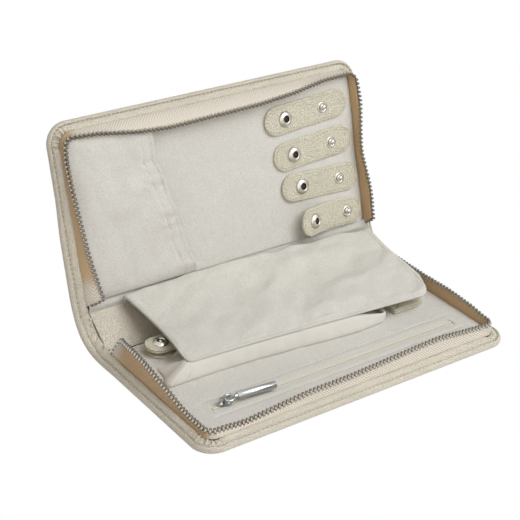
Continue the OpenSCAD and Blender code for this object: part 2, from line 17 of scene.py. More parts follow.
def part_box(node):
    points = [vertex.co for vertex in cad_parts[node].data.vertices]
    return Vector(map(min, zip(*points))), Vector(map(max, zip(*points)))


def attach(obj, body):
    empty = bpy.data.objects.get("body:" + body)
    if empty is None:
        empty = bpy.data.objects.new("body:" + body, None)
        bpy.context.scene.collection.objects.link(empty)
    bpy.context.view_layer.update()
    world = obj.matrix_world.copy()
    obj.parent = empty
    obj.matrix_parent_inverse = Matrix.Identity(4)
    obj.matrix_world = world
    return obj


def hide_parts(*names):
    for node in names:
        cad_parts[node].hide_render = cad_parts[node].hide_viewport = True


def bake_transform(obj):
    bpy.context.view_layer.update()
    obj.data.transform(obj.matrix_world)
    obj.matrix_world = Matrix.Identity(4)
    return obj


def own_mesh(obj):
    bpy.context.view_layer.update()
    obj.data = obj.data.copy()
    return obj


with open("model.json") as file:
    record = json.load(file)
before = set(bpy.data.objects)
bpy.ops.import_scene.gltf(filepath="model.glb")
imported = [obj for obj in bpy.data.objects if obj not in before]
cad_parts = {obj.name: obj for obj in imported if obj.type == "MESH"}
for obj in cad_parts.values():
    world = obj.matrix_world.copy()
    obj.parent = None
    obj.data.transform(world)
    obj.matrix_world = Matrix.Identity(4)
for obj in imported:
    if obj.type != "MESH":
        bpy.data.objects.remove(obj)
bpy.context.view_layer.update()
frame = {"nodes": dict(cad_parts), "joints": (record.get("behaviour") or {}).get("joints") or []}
MM = 0.001

# ---------------------------------------------------------------- sizes
cover_low, cover_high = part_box("base_cover")
CASE_W = (cover_high.x - cover_low.x) / MM
HINGES = {j["name"]: j for j in frame["joints"]}
FOLD_Y, FOLD_Z = (c / MM for c in HINGES["spine_fold"]["pos_m"][1:])
TOP_Y, TOP_Z = (c / MM for c in HINGES["lid_fold"]["pos_m"][1:])
CASE_D = FOLD_Y - cover_low.y / MM
HALF_W = CASE_W / 2
SPINE_L = math.hypot(TOP_Y - FOLD_Y, TOP_Z - FOLD_Z)
SPINE_A = math.atan2(TOP_Z - FOLD_Z, TOP_Y - FOLD_Y)
LID_A = 2 * SPINE_A
CORNER_R = 15.0
FLOOR_H = 9.0
SIDE_L = CASE_D - CORNER_R
EDGE_L = CASE_W - 2 * CORNER_R
ARC_L = math.pi / 2 * CORNER_R
WAY_L = 2 * SIDE_L + 2 * ARC_L + EDGE_L
MID_SPINE = SPINE_L / 2
BASE, LID = "base", "lid"

# height of the zip, and its lean inwards, at shares of the way round a half
BASE_WAVE = [[0, 19], [0.054, 22.5], [0.0935, 21], [0.132, 17.5], [0.179, 13], [0.275, 12.6],
             [0.312, 10.7], [0.3525, 12.6], [0.415, 15.6], [0.487, 15.8], [0.5625, 17.4],
             [0.64, 19.2], [0.71, 16.2], [0.783, 15.4], [0.815, 17.8], [0.862, 19.2],
             [0.916, 18.5], [1, 19.5]]
LID_WAVE = [[0, 18.5], [0.03, 16.5], [0.075, 15.4], [0.15, 14.4], [0.2, 12.8], [0.25, 14],
            [0.3, 15.8], [0.35, 18], [0.41, 19.6], [0.5, 20.2], [0.57, 20], [0.63, 19],
            [0.69, 16.8], [0.74, 16], [0.79, 18.3], [0.84, 19], [0.9, 19], [0.95, 20.4],
            [1, 19]]
BASE_LEAN = [[0, 13.5], [0.02, 11.8], [0.045, 10], [0.1, 9], [0.2, 8.6], [0.3, 9.4],
             [0.45, 8.6], [0.6, 9.4], [0.8, 8.6], [1, 9.6]]
LID_LEAN = [[0, 15.5], [0.015, 14.6], [0.03, 13.6], [0.048, 12.2], [0.075, 10.6],
            [0.114, 9.2], [0.14, 8.2], [0.165, 7.4], [0.2, 7], [0.225, 8.4], [0.27, 9.6],
            [0.303, 10.4], [0.34, 13.3], [0.37, 15.2], [0.41, 16.4], [0.5, 15.6],
            [0.565, 15], [0.63, 12.8], [0.685, 9.4], [0.73, 9], [0.787, 7.2],
            [0.81, 6.6], [0.833, 8.1], [0.86, 10], [0.884, 11], [0.907, 9.5],
            [0.933, 8], [0.955, 7.2], [1, 7]]
TOOTH_H = 2.8
TOOTH_TOP = 22.5


# ---------------------------------------------------------------- the bent pattern
def reach_of(points):
    """Distance along a line of points, at each of them."""
    return np.concatenate([[0], np.cumsum(np.linalg.norm(np.diff(points, axis=0), axis=1))])


def at_reach(t, reach, points):
    """The places at distances t on a line of points."""
    return np.stack([np.interp(t, reach, column) for column in np.asarray(points).T], -1)


def bezier(points, t):
    a, b, c, d = (np.array(p, float) for p in points)
    t = t[:, None]
    return (1 - t) ** 3 * a + 3 * (1 - t) ** 2 * t * b + 3 * (1 - t) * t * t * c + t ** 3 * d


def lid_point(v, h):
    """(y, z) of a flat place on the lid."""
    return np.array([TOP_Y + v * math.cos(LID_A) - (h - FOLD_Z) * math.sin(LID_A),
                     TOP_Z + v * math.sin(LID_A) + (h - FOLD_Z) * math.cos(LID_A)])


# the outer leather curves from one of these places to the other
BEND_FROM = -10.0
BEND_TO = SPINE_L + 14.0
LID_WAY = np.array([math.cos(LID_A), math.sin(LID_A)])
_end = lid_point(BEND_TO - SPINE_L, 0)
_curve = bezier([(FOLD_Y + BEND_FROM, 0), (FOLD_Y + 24, 0), _end - 27 * LID_WAY, _end],
                np.linspace(0, 1, 200))
_reach = reach_of(_curve)
_reach = BEND_FROM + _reach / _reach[-1] * (BEND_TO - BEND_FROM)


def outer_line(u):
    """Points and directions of the outer leather; u runs from the base, past the fold, up the lid."""
    u = np.asarray(u, float)
    line = at_reach(u, _reach, _curve)
    slope = np.gradient(_curve, axis=0)
    slope /= np.linalg.norm(slope, axis=1)[:, None]
    way = at_reach(u, _reach, slope)
    low = u < BEND_FROM
    high = u > BEND_TO
    line[low] = np.stack([FOLD_Y + u[low], 0 * u[low]], -1)
    way[low] = (1, 0)
    line[high] = _end + (u[high] - BEND_TO)[:, None] * LID_WAY
    way[high] = LID_WAY
    return line, way / np.linalg.norm(way, axis=-1)[..., None]


def place(x, u, h):
    """Bends the flat pattern: x across, u along the outer leather, h inwards."""
    x, u, h = np.broadcast_arrays(*(np.asarray(a, float) for a in (x, u, h)))
    line, way = outer_line(u.ravel())
    out = np.stack([x.ravel(), line[:, 0] - way[:, 1] * h.ravel(),
                    line[:, 1] + way[:, 0] * h.ravel()], -1)
    return out.reshape(x.shape + (3,))


def on_half(half, x, v, h):
    v = np.asarray(v, float)
    return place(x, -v if half == BASE else SPINE_L + v, h)


LID_UP = on_half(LID, 0, 60, 10) - on_half(LID, 0, 60, 9)


def way_point(s, d):
    """Flat (x, v) at distance s round a half, moved in by d from the outer edge."""
    s, d = np.broadcast_arrays(np.asarray(s, float), np.asarray(d, float))
    flip = s > WAY_L / 2
    t = np.where(flip, WAY_L - s, s)
    a = np.clip((t - SIDE_L) / ARC_L, 0, 1) * math.pi / 2
    r = CORNER_R - d
    x = -HALF_W + CORNER_R - r * np.cos(a)
    v = SIDE_L + r * np.sin(a)
    x = np.where(t < SIDE_L, -HALF_W + d, x)
    v = np.where(t < SIDE_L, t, v)
    x = np.where(t > SIDE_L + ARC_L, -HALF_W + CORNER_R + t - SIDE_L - ARC_L, x)
    v = np.where(t > SIDE_L + ARC_L, CASE_D - d, v)
    return np.where(flip, -x, x), v


def lookup(table, s):
    """Value of a wave at distance s, its corners rounded off."""
    share = np.asarray(s, float) / WAY_L
    t, y = np.array(table, float).T
    spread = np.linspace(-0.016, 0.016, 9)
    weight = 1.02 - (spread / 0.016) ** 2
    value = sum(w * np.interp(np.clip(share + d, 0, 1), t, y) for d, w in zip(spread, weight))
    return value / weight.sum()


# inset and height of a zip's ends, and where it turns out to the leather
END_D, END_H, END_FROM, END_TO = 7.9, 6.3, 1.2, 5.0


def chain(half, s):
    """Inset and height of the teeth's feet at distance s; both ends turn out to the leather."""
    wave, lean = (BASE_WAVE, BASE_LEAN) if half == BASE else (LID_WAVE, LID_LEAN)
    near = np.minimum(s, WAY_L - s)
    turn = np.clip((END_TO - near) / (END_TO - END_FROM), 0, 1)
    turn = turn ** 2.2
    d, h = lookup(lean, s), np.minimum(lookup(wave, s), TOOTH_TOP) - TOOTH_H
    return d + (END_D - d) * turn, h + (END_H - h) * turn


def chain_place(half, s, d):
    """Flat (x, v) of the zip at distance s and inset d; the lid's ends reach past its fold."""
    x, v = way_point(s, d)
    near = np.minimum(s, WAY_L - s)
    return x, v + (-1.8 if half == LID else 1.0) * np.clip(1 - near / 14, 0, 1) ** 1.5


def zip_steps(fine, step):
    """Distances round a half for its zip, closer together near the spine."""
    return np.concatenate([np.arange(END_FROM, 9, fine), np.arange(9, WAY_L - 9, step),
                           np.arange(WAY_L - 9, WAY_L - 1.0, fine)])


def ripple(s, pitch, seed):
    """A smooth uneven wave of about one unit along s."""
    s = np.asarray(s, float)
    total = 0 * s
    for k in range(3):
        f = 1 + 0.37 * k
        total = total + np.sin(2 * math.pi * s * f / pitch + seed * (1.7 + k) + 1.3 * np.sin(
            2 * math.pi * s / pitch / 3.1 + seed * k)) / (1 + k)
    return total / 1.8


def bump_window(s, a, b, soft):
    """1 between a and b, falling to 0 over soft outside."""
    s = np.asarray(s, float)
    up = np.clip((s - a + soft) / soft, 0, 1)
    down = np.clip((b + soft - s) / soft, 0, 1)
    w = np.minimum(up, down)
    return w * w * (3 - 2 * w)


# ---------------------------------------------------------------- meshes
def show(name, data):
    """A new object in the scene."""
    obj = bpy.data.objects.new(name, data)
    bpy.context.scene.collection.objects.link(obj)
    return obj


def mesh(name, verts, faces, uvs=None):
    data = bpy.data.meshes.new(name)
    data.from_pydata((np.asarray(verts, float) * MM).tolist(), [], faces)
    if uvs is not None:
        layer = data.uv_layers.new(name="pattern")
        loops = np.empty(len(data.loops), int)
        data.loops.foreach_get("vertex_index", loops)
        layer.data.foreach_set("uv", (np.asarray(uvs, float)[loops] * MM).ravel())
    data.polygons.foreach_set("use_smooth", [True] * len(data.polygons))
    data.update()
    return show(name, data)


def grid_faces(n, k, wrap=False, skip=None, start=0):
    faces = []
    for i in range(n - 1):
        for j in range(k if wrap else k - 1):
            if skip is None or not skip(i, j):
                j2 = (j + 1) % k
                faces.append((start + i * k + j, start + i * k + j2,
                              start + (i + 1) * k + j2, start + (i + 1) * k + j))
    return faces


@contextmanager
def edit(data):
    """Opens a mesh for editing and writes it back."""
    bm = bmesh.new()
    bm.from_mesh(data)
    yield bm
    bm.to_mesh(data)
    bm.free()


def turn_out(obj):
    with edit(obj.data) as bm:
        bmesh.ops.remove_doubles(bm, verts=bm.verts, dist=1e-6)
        bmesh.ops.recalc_face_normals(bm, faces=bm.faces)
    return obj


def tube_mesh(name, rings):
    """A closed skin over rings of points, each ring in order."""
    rings = np.asarray(rings, float)
    n, k = rings.shape[:2]
    faces = grid_faces(n, k, wrap=True)
    faces += [tuple(range(k))[::-1], tuple((n - 1) * k + j for j in range(k))]
    return turn_out(mesh(name, rings.reshape(-1, 3), faces))


def pad_mesh(name, top, normal, thick, uvs=None):
    """A closed pad: a grid of points on its upper face, and its thickness at each point."""
    n, k = top.shape[:2]
    low = top - normal * thick[..., None]
    verts = np.concatenate([top.reshape(-1, 3), low.reshape(-1, 3)])
    faces = grid_faces(n, k)
    faces += [f[::-1] for f in grid_faces(n, k, start=n * k)]
    rim = ([(0, j) for j in range(k)] + [(i, k - 1) for i in range(1, n)] +
           [(n - 1, j) for j in range(k - 2, -1, -1)] + [(i, 0) for i in range(n - 2, 0, -1)])
    ids = [i * k + j for i, j in rim]
    for a, b in zip(ids, ids[1:] + ids[:1]):
        faces.append((a, b, b + n * k, a + n * k))
    if uvs is not None:
        uvs = np.concatenate([uvs.reshape(-1, 2), uvs.reshape(-1, 2)])
    return turn_out(mesh(name, verts, faces, uvs))


def grid_normals(p):
    a = np.gradient(p, axis=0)
    b = np.gradient(p, axis=1)
    n = np.cross(a, b)
    return n / np.maximum(np.linalg.norm(n, axis=-1), 1e-9)[..., None]


def lathe(name, profile, spot, way, segments=36):
    """Turns a profile of (radius, height) round an axis through spot, along way.

    The profile starts and ends on the axis, or else it is joined to its own start.
    """
    profile = np.array(profile + ([profile[0]] if profile[0][0] > 0 else []), float)
    way = Vector(way).normalized()
    side = way.orthogonal().normalized()
    other = way.cross(side)
    a = np.linspace(0, 2 * math.pi, segments, endpoint=False)
    ring = (np.cos(a)[:, None] * np.array(side) + np.sin(a)[:, None] * np.array(other))
    p = (np.array(spot, float) + profile[:, None, 1:] * np.array(way) +
         profile[:, None, :1] * ring[None])
    return turn_out(mesh(name, p.reshape(-1, 3), grid_faces(len(profile), segments, wrap=True)))


def bake(obj):
    """Applies the object's modifiers and leaves a plain mesh."""
    bpy.context.view_layer.update()
    data = bpy.data.meshes.new_from_object(
        obj.evaluated_get(bpy.context.evaluated_depsgraph_get()))
    obj.modifiers.clear()
    obj.data = data
    return obj


def modify(obj, kind, **settings):
    made = obj.modifiers.new(kind.lower(), kind)
    for key, value in settings.items():
        setattr(made, key, value)
    return bake(obj)


def sharpen(obj, degrees):
    """Keeps edges crisp where faces meet more steeply than this."""
    with edit(obj.data) as bm:
        for edge in bm.edges:
            edge.smooth = edge.calc_face_angle(0) < math.radians(degrees)
    return obj


def join(name, *pieces):
    """Several meshes as one piece."""
    bm = bmesh.new()
    for piece in pieces:
        bm.from_mesh(piece.data)
    data = bpy.data.meshes.new(name)
    bm.to_mesh(data)
    bm.free()
    data.polygons.foreach_set("use_smooth", [True] * len(data.polygons))
    for piece in pieces:
        bpy.data.objects.remove(piece)
    return show(name, data)


# ---------------------------------------------------------------- shaders
class Wire:
    """A shader socket that Python's operators work on."""

    def __init__(self, shader, socket):
        self.shader = shader
        self.socket = socket

    def _math(self, op, *values):
        return self.shader.node("ShaderNodeMath", {"operation": op}, *values)

    def __add__(self, other):
        return self._math("ADD", self, other)

    __radd__ = __add__

    def __mul__(self, other):
        return self._math("MULTIPLY", self, other)

    __rmul__ = __mul__

    def __rsub__(self, other):
        return self._math("SUBTRACT", other, self)

    def sin(self):
        return self._math("SINE", self)

    def fold(self, width):
        """A triangle wave between 0 and width."""
        return self._math("PINGPONG", self, width)

    def between(self, low, high):
        """0 below low, 1 above high, smooth in between."""
        return self.shader.node("ShaderNodeMapRange", {"interpolation_type": "SMOOTHSTEP"},
                                Value=self, **{"From Min": low, "From Max": high})


class Shader:
    def __init__(self, name):
        self.material = bpy.data.materials.new(name)
        self.material.use_nodes = True
        self.tree = self.material.node_tree
        self.surface = self.tree.nodes["Principled BSDF"]

    def put(self, socket, value):
        if isinstance(value, Wire):
            self.tree.links.new(value.socket, socket)
        elif isinstance(value, (tuple, list)) and len(value) == 3 and socket.type == "RGBA":
            socket.default_value = (*value, 1)
        else:
            socket.default_value = value

    def node(self, kind, settings=None, *values, out=0, **named):
        made = self.tree.nodes.new(kind)
        for key, value in (settings or {}).items():
            setattr(made, key, value)
        for i, value in enumerate(values):
            self.put(made.inputs[i], value)
        for key, value in named.items():
            self.put(made.inputs[key], value)
        return Wire(self, made.outputs[out])

    def where(self):
        return self.node("ShaderNodeTexCoord", out="Object")

    def pattern(self):
        """The piece's own lengths along and across, in metres."""
        split = self.node("ShaderNodeSeparateXYZ", {}, self.node("ShaderNodeUVMap"))
        return split, Wire(self, split.socket.node.outputs[1])

    def noise(self, at, scale, detail=2.0, roughness=0.5):
        return self.node("ShaderNodeTexNoise", {}, Vector=at, Scale=scale, Detail=detail,
                         Roughness=roughness)

    def cells(self, at, scale, feature="F1"):
        return self.node("ShaderNodeTexVoronoi", {"feature": feature}, Vector=at, Scale=scale)

    def blend(self, mask, a, b):
        made = self.tree.nodes.new("ShaderNodeMix")
        made.data_type = "RGBA"
        for key, value in ((0, mask), (6, a), (7, b)):
            self.put(made.inputs[key], value)
        return Wire(self, made.outputs[2])

    def bump(self, height, depth, strength=1.0):
        return self.node("ShaderNodeBump", {}, Height=height, Distance=depth, Strength=strength)

    def finish(self, **named):
        for key, value in named.items():
            self.put(self.surface.inputs[key.replace("_", " ")], value)
        return self.material


def shade(color, k):
    return tuple(min(1.0, c * k) for c in color)


def pebbled_leather(name, color, grain=780, depth=0.0006, rough=0.5, crevice_shade=0.80):
    """Soft leather with small rounded grains and faint creases; the crevices between the grains are
    painted darker, a painted shade.
    """
    s = Shader(name)
    at = s.where()
    warp = s.node("ShaderNodeVectorMath", {"operation": "MULTIPLY_ADD"},
                  s.node("ShaderNodeTexNoise", {}, out="Color", Vector=at, Scale=420.0),
                  (0.0011, 0.0011, 0.0011), at)
    edge = s.cells(warp, grain, "DISTANCE_TO_EDGE")
    pebble = edge.between(0.0, 0.16)
    fine = s.noise(at, 5200.0, 2.0)
    crease = s.noise(at, 210.0, 4.0, 0.6)
    tone = s.noise(at, 38.0, 3.0)
    height = pebble + fine * 0.12 + crease * 1.2
    body = s.blend(tone.between(0.3, 0.7), shade(color, 0.95), shade(color, 1.03))
    # the crevices between the pebbles are coloured darker: painted shade in the creases
    crevice_shaded = s.blend(pebble, shade(color, crevice_shade), body)
    return s.finish(Base_Color=crevice_shaded, Roughness=rough + (1 - pebble) * 0.12,
                    Normal=s.bump(height, depth, 0.7), Specular_IOR_Level=0.4)


def brushed_suede(name, color, depth=0.0004, mottle=0.06):
    """Short nap, brushed in patches."""
    s = Shader(name)
    at = s.where()
    nap = s.noise(at, 950.0, 4.0, 0.8)
    patch = s.noise(at, 95.0, 4.0, 0.6)
    broad = s.noise(at, 22.0, 2.0)
    tone = patch * 0.6 + broad * 0.4
    body = s.blend(tone.between(0.3, 0.72), shade(color, 1 - mottle), shade(color, 1 + mottle * 0.4))
    flecked = s.blend(nap.between(0.34, 0.6), shade(color, 0.84), body)
    return s.finish(Base_Color=flecked, Roughness=0.92, Specular_IOR_Level=0.2,
                    Sheen_Weight=0.15, Sheen_Roughness=0.5,
                    Normal=s.bump(nap * 1.1 + patch * 1.4, depth, 1.0))


def woven(name, color, pitch=0.00042, depth=0.00006, crease=0.6):
    """A fine plain weave on the piece's own pattern."""
    s = Shader(name)
    at = s.where()
    along, across = s.pattern()
    turn = 2 * math.pi / pitch
    weave = (along * turn).sin() * (across * turn).sin()
    soft = s.noise(at, 150.0, 4.0, 0.6)
    fleck = s.noise(at, 1500.0, 2.0)
    tone = s.noise(at, 30.0, 2.0)
    body = s.blend(tone.between(0.3, 0.7), shade(color, 0.965), shade(color, 1.02))
    return s.finish(Base_Color=s.blend(weave * 0.3 + fleck.between(0.3, 0.7) * 0.7,
                                       shade(color, 0.92), body),
                    Roughness=0.9, Specular_IOR_Level=0.2,
                    Normal=s.bump(weave * 0.4 + fleck * 2 + soft * crease * 6, depth, 0.9))


def herringbone(name, color, warm, warm_to):
    """Zip tape: diagonal ribs that turn back every few millimetres; its first stretch is warmer."""
    s = Shader(name)
    along, across = s.pattern()
    slant = along + across.fold(0.0042) * 1.3
    rib = (slant * (2 * math.pi / 0.0022)).sin() * 0.5 + 0.5
    fibre = s.noise(s.where(), 3000.0, 2.0)
    tone = s.noise(s.where(), 60.0, 2.0)
    first = along.between(warm_to[0] * MM, warm_to[0] * MM + 0.012) * (
        1 - along.between(warm_to[1] * MM, warm_to[1] * MM + 0.012))
    cloth = s.blend(first, color, warm)
    body = s.blend(tone, cloth, s.blend(first, shade(color, 1.03), shade(warm, 1.05)))
    ribbed = s.blend(rib, s.blend(first, shade(color, 0.80), shade(warm, 0.86)), body)
    return s.finish(Base_Color=ribbed, Roughness=0.82, Specular_IOR_Level=0.25,
                    Normal=s.bump(rib + fibre * 0.3, 0.0003, 0.9))


def metal(name, color, rough=0.2, wear=0.12):
    s = Shader(name)
    smear = s.noise(s.where(), 500.0, 3.0)
    return s.finish(Base_Color=s.blend(smear.between(0.3, 0.75), shade(color, 0.86), color),
                    Metallic=1.0, Roughness=rough + smear * wear)


def tooth_metal(name, color, painted_dark):
    """Plated metal whose marked tooth heads carry a painted dark reflection."""
    s = Shader(name)
    painted_dark_mask = s.node("ShaderNodeAttribute", {"attribute_name": "painted_dark"}, out="Fac")
    smear = s.noise(s.where(), 900.0, 2.0)
    body = s.blend(smear, shade(color, 0.8), color)
    # the marked head of each tooth is coloured near-black: a painted dark reflection
    return s.finish(Base_Color=s.blend(painted_dark_mask, body, painted_dark), Metallic=1.0, Roughness=0.3)


def thread(name, color):
    s = Shader(name)
    at = s.where()
    ply = s.noise(at, 3500.0, 2.0)
    return s.finish(Base_Color=s.blend(ply, shade(color, 0.85), color), Roughness=0.75,
                    Specular_IOR_Level=0.3, Normal=s.bump(ply, 0.0001, 0.7))


SHELL = pebbled_leather("ivory_shell_leather", (0.80, 0.745, 0.635))
BAND = pebbled_leather("ivory_band_leather", (0.80, 0.745, 0.64), grain=740)
TAB = pebbled_leather("ivory_tab_leather", (0.78, 0.74, 0.60), grain=640, depth=0.0008,
                      crevice_shade=0.78)
SUEDE = brushed_suede("lining_suede", (0.725, 0.705, 0.662))
FLAP = brushed_suede("flap_suede", (0.745, 0.728, 0.675), mottle=0.07)
POUCH = woven("pouch_cloth", (0.80, 0.775, 0.725))
POCKET = brushed_suede("pocket_cloth", (0.72, 0.70, 0.66), mottle=0.04)
TAPE = herringbone("zip_tape", (0.83, 0.76, 0.67), (0.66, 0.48, 0.30),
                   (9.0, SIDE_L + ARC_L - 6))
BASE_TAPE = herringbone("base_zip_tape", (0.83, 0.76, 0.67), (0.66, 0.48, 0.30),
                        (5.0, SIDE_L + 0.2 * ARC_L))
TAN = woven("tan_lining", (0.62, 0.44, 0.26), pitch=0.0006)
# the last colour is the painted dark reflection on each tooth's head
NICKEL = tooth_metal("nickel_teeth", (0.56, 0.53, 0.47), (0.11, 0.10, 0.085))
CHROME = metal("chrome_trim", (0.50, 0.52, 0.52), 0.17, 0.05)
SNAP = metal("snap_metal", (0.66, 0.63, 0.57), 0.2)
NYLON = thread("cream_nylon", (0.74, 0.71, 0.62))
# tan brown thread, darker than the leather; its darkness partly stands in for the shade along the
# stitched groove, a painted shade
THREAD = thread("sewing_thread", (0.56, 0.47, 0.36))
# a near-black disc set in each snap socket's bore: painted shade of the bore
PAINTED_BORE_SHADE = thread("painted_bore_shade", (0.035, 0.03, 0.025))


def dress(obj, material, body, replaces=()):
    obj.data.materials.clear()
    obj.data.materials.append(material)
    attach(obj, body)
    if replaces:
        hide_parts(*replaces)
    return obj


# ---------------------------------------------------------------- leather shell
EDGE_PROFILE = [(9.4, 4.2), (8.4, 5.6), (7.7, 6.6), (6.9, 7.1), (5.9, 7.15), (4.9, 6.75),
                (4.1, 6.3), (3.4, 5.85), (3.0, 5.2), (2.75, 4.4), (2.1, 4.35), (1.8, 5.1), (1.2, 4.9),
                (0.55, 4.05), (0.15, 3.3), (0.0, 2.5), (0.15, 1.6), (0.6, 0.85), (1.3, 0.3),
                (2.2, 0.05), (3.4, 0.0)]


BENT_REACH = 12.0      # how far from a fold the leather still bends


def half_stations(step):
    """Distances round a half, mirror-equal, from mid-spine to mid-spine."""
    ends = [-MID_SPINE, 0, SIDE_L, SIDE_L + ARC_L]
    out = []
    for a, b, fine in zip(ends, ends[1:], (step, step, step * 0.5)):
        n = max(2, int(round((b - a) / fine)))
        out += list(np.linspace(a, b, n, endpoint=False))
    n = int(round(EDGE_L / step))
    front = list(np.linspace(SIDE_L + ARC_L, WAY_L - SIDE_L - ARC_L, n + 1))
    return np.array(out + front + [WAY_L - s for s in reversed(out)]), len(out), n


def corner_share(s):
    """1 inside a corner's arc, fading beyond its ends."""
    t = np.minimum(s, WAY_L - s)
    return bump_window(t, SIDE_L + 1, SIDE_L + ARC_L - 1, 7)


def spine_share(s):
    t = np.minimum(s, WAY_L - s)
    return bump_window(t, -60, 0, 9)


def leather_shell(half):
    """The outer leather of one half: edge band, stitched groove, rolled edge and outer face."""
    s, turn, across = half_stations(1.6)
    d, h = np.array(EDGE_PROFILE, float).T
    band = np.interp(d, [1.4, 2.4, 4.5, 7.5, 9.4], [0, 0.25, 1, 0.8, 0.3]) * (h > 3.9)
    S = s[:, None]
    t = np.minimum(S, WAY_L - S)
    wave = np.cos(math.pi * (t - SIDE_L) / (ARC_L / 8) + 0.9 * np.sin(t * 0.9))
    fold = 1 - 2 * np.abs(wave) ** 0.7
    gather = np.sin(2 * math.pi * t / 4.6 + 1.2 * np.sin(t * 0.6 + (S > WAY_L / 2) * 2))
    lift = (corner_share(S) * (fold * 1.25 - 0.5) + spine_share(S) * gather +
            ripple(S, 23, 2.0 if half == BASE else 5.0) * 0.22) * band
    sway = ripple(S, 47, 1.0 if half == BASE else 3.0) * 0.3
    H = h + lift
    D = np.clip(d + band * sway + corner_share(S) * band * fold * 0.15, 0, None)
    full = 42 if half == LID else -12
    D = D - np.interp(d, [0, 3.6], [1.3, 0]) * bump_window(S, -60, full, 32)
    X, V = way_point(S, D)
    edge = on_half(half, X, V, H)
    n, k = edge.shape[:2]
    verts = edge.reshape(-1, 3)
    faces = grid_faces(n, k)
    # the outer face: rows across from side to side, the last one along the front
    rows = turn + 1
    inner = edge[:, -1]
    ids = np.empty((rows, across + 1), int)
    extra = []
    for i in range(rows):
        left, right = i, n - 1 - i
        if i == rows - 1:
            ids[i] = [j * k + k - 1 for j in range(left, right + 1)]
            continue
        ids[i, 0], ids[i, -1] = left * k + k - 1, right * k + k - 1
        f = np.linspace(0, 1, across + 1)[1:-1, None]
        ids[i, 1:-1] = np.arange(across - 1) + len(verts) + len(extra)
        extra += list(inner[left] * (1 - f) + inner[right] * f)
    verts = np.concatenate([verts, np.array(extra)])
    for i in range(rows - 1):
        for j in range(across):
            faces.append((ids[i, j], ids[i, j + 1], ids[i + 1, j + 1], ids[i + 1, j]))
    return verts, faces


def split_shell(half):
    """The half's shell as a stiff piece and the piece near the spine's fold, where the leather bends.
    """
    verts, faces = leather_shell(half)
    if half == BASE:
        bends = verts[:, 1] > FOLD_Y - BENT_REACH
    else:
        rise = (verts[:, 1:] - np.array([TOP_Y, TOP_Z])) @ LID_WAY
        bends = rise < BENT_REACH
    stiff_faces, bent_faces = [], []
    for f in faces:
        (bent_faces if all(bends[i] for i in f) else stiff_faces).append(f)
    out = []
    for kind, part in (("stiff", stiff_faces), ("bent", bent_faces)):
        used = sorted({i for f in part for i in f})
        new = {old: i for i, old in enumerate(used)}
        obj = mesh(f"{half}_shell_{kind}", verts[used], [tuple(new[i] for i in f) for f in part])
        turn_out(obj)
        out.append(obj)
    return out


def shells():
    mid = place(0, MID_SPINE, 2.5) * MM
    for half in (BASE, LID):
        stiff, bent = split_shell(half)
        for obj in (stiff, bent):
            modify(obj, "SOLIDIFY", thickness=0.0006, offset=-1, use_even_offset=True)
            sharpen(obj, 70)
        dress(stiff, SHELL, half,
              ("base_cover", "base_rim") if half == BASE else ("lid_cover", "lid_rim"))
        bent.data.materials.append(SHELL)
        edge = place(0, -9, 2.5) if half == BASE else place(0, SPINE_L + 9, 2.5)
        tuple(edge * MM)
        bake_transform(bent)
        if half == BASE:
            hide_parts("spine_cover")


shells()


def tape_sheet(half, name, foot_d, foot_h, off, material, node):
    s = zip_steps(0.4, 1.5)
    lean, feet = chain(half, s)
    feet = np.maximum(feet, foot_h + 0.3)
    lean = np.maximum(lean, foot_d + 0.4) if foot_d < 9 else np.maximum(lean, 8.2)
    rows = 9
    f = np.linspace(0, 1, rows)
    S = s[:, None]
    bow = np.sin(f * math.pi)[None] * (0.9 + 0.8 * ripple(S, 38, 1.0 if half == BASE else 4.0))
    foot = np.minimum(foot_d, lean + 1.8)
    bent = f ** (1.0 + 0.9 * np.clip((lean - foot) / 6, 0, 1)[:, None])
    D = foot[:, None] * (1 - bent) + (lean + off)[:, None] * bent + bow * 0.35
    H = foot_h * (1 - f) + (feet[:, None] + 0.2) * f + bow * 0.2
    X, V = chain_place(half, S, D)
    top = on_half(half, X, V, H)
    uv = np.stack([S + 0 * D, H], -1)
    obj = pad_mesh(name, top, grid_normals(top), np.full(top.shape[:2], 0.55), uv)
    dress(obj, material, half, (node,))
    wide = np.linalg.norm(np.diff(top, axis=1), axis=2).sum(1).mean()
    WAY_L * MM
    WAY_L * wide * MM * MM


for half in (BASE, LID):
    tape_sheet(half, f"{half}_zip_tape", 7.3, 6.4, -0.3, TAPE if half == LID else BASE_TAPE,
               f"{half}_tape")
    tape_sheet(half, f"{half}_tan_lining", 10.0, 6.8, 0.6, TAN, f"{half}_tape_lining")


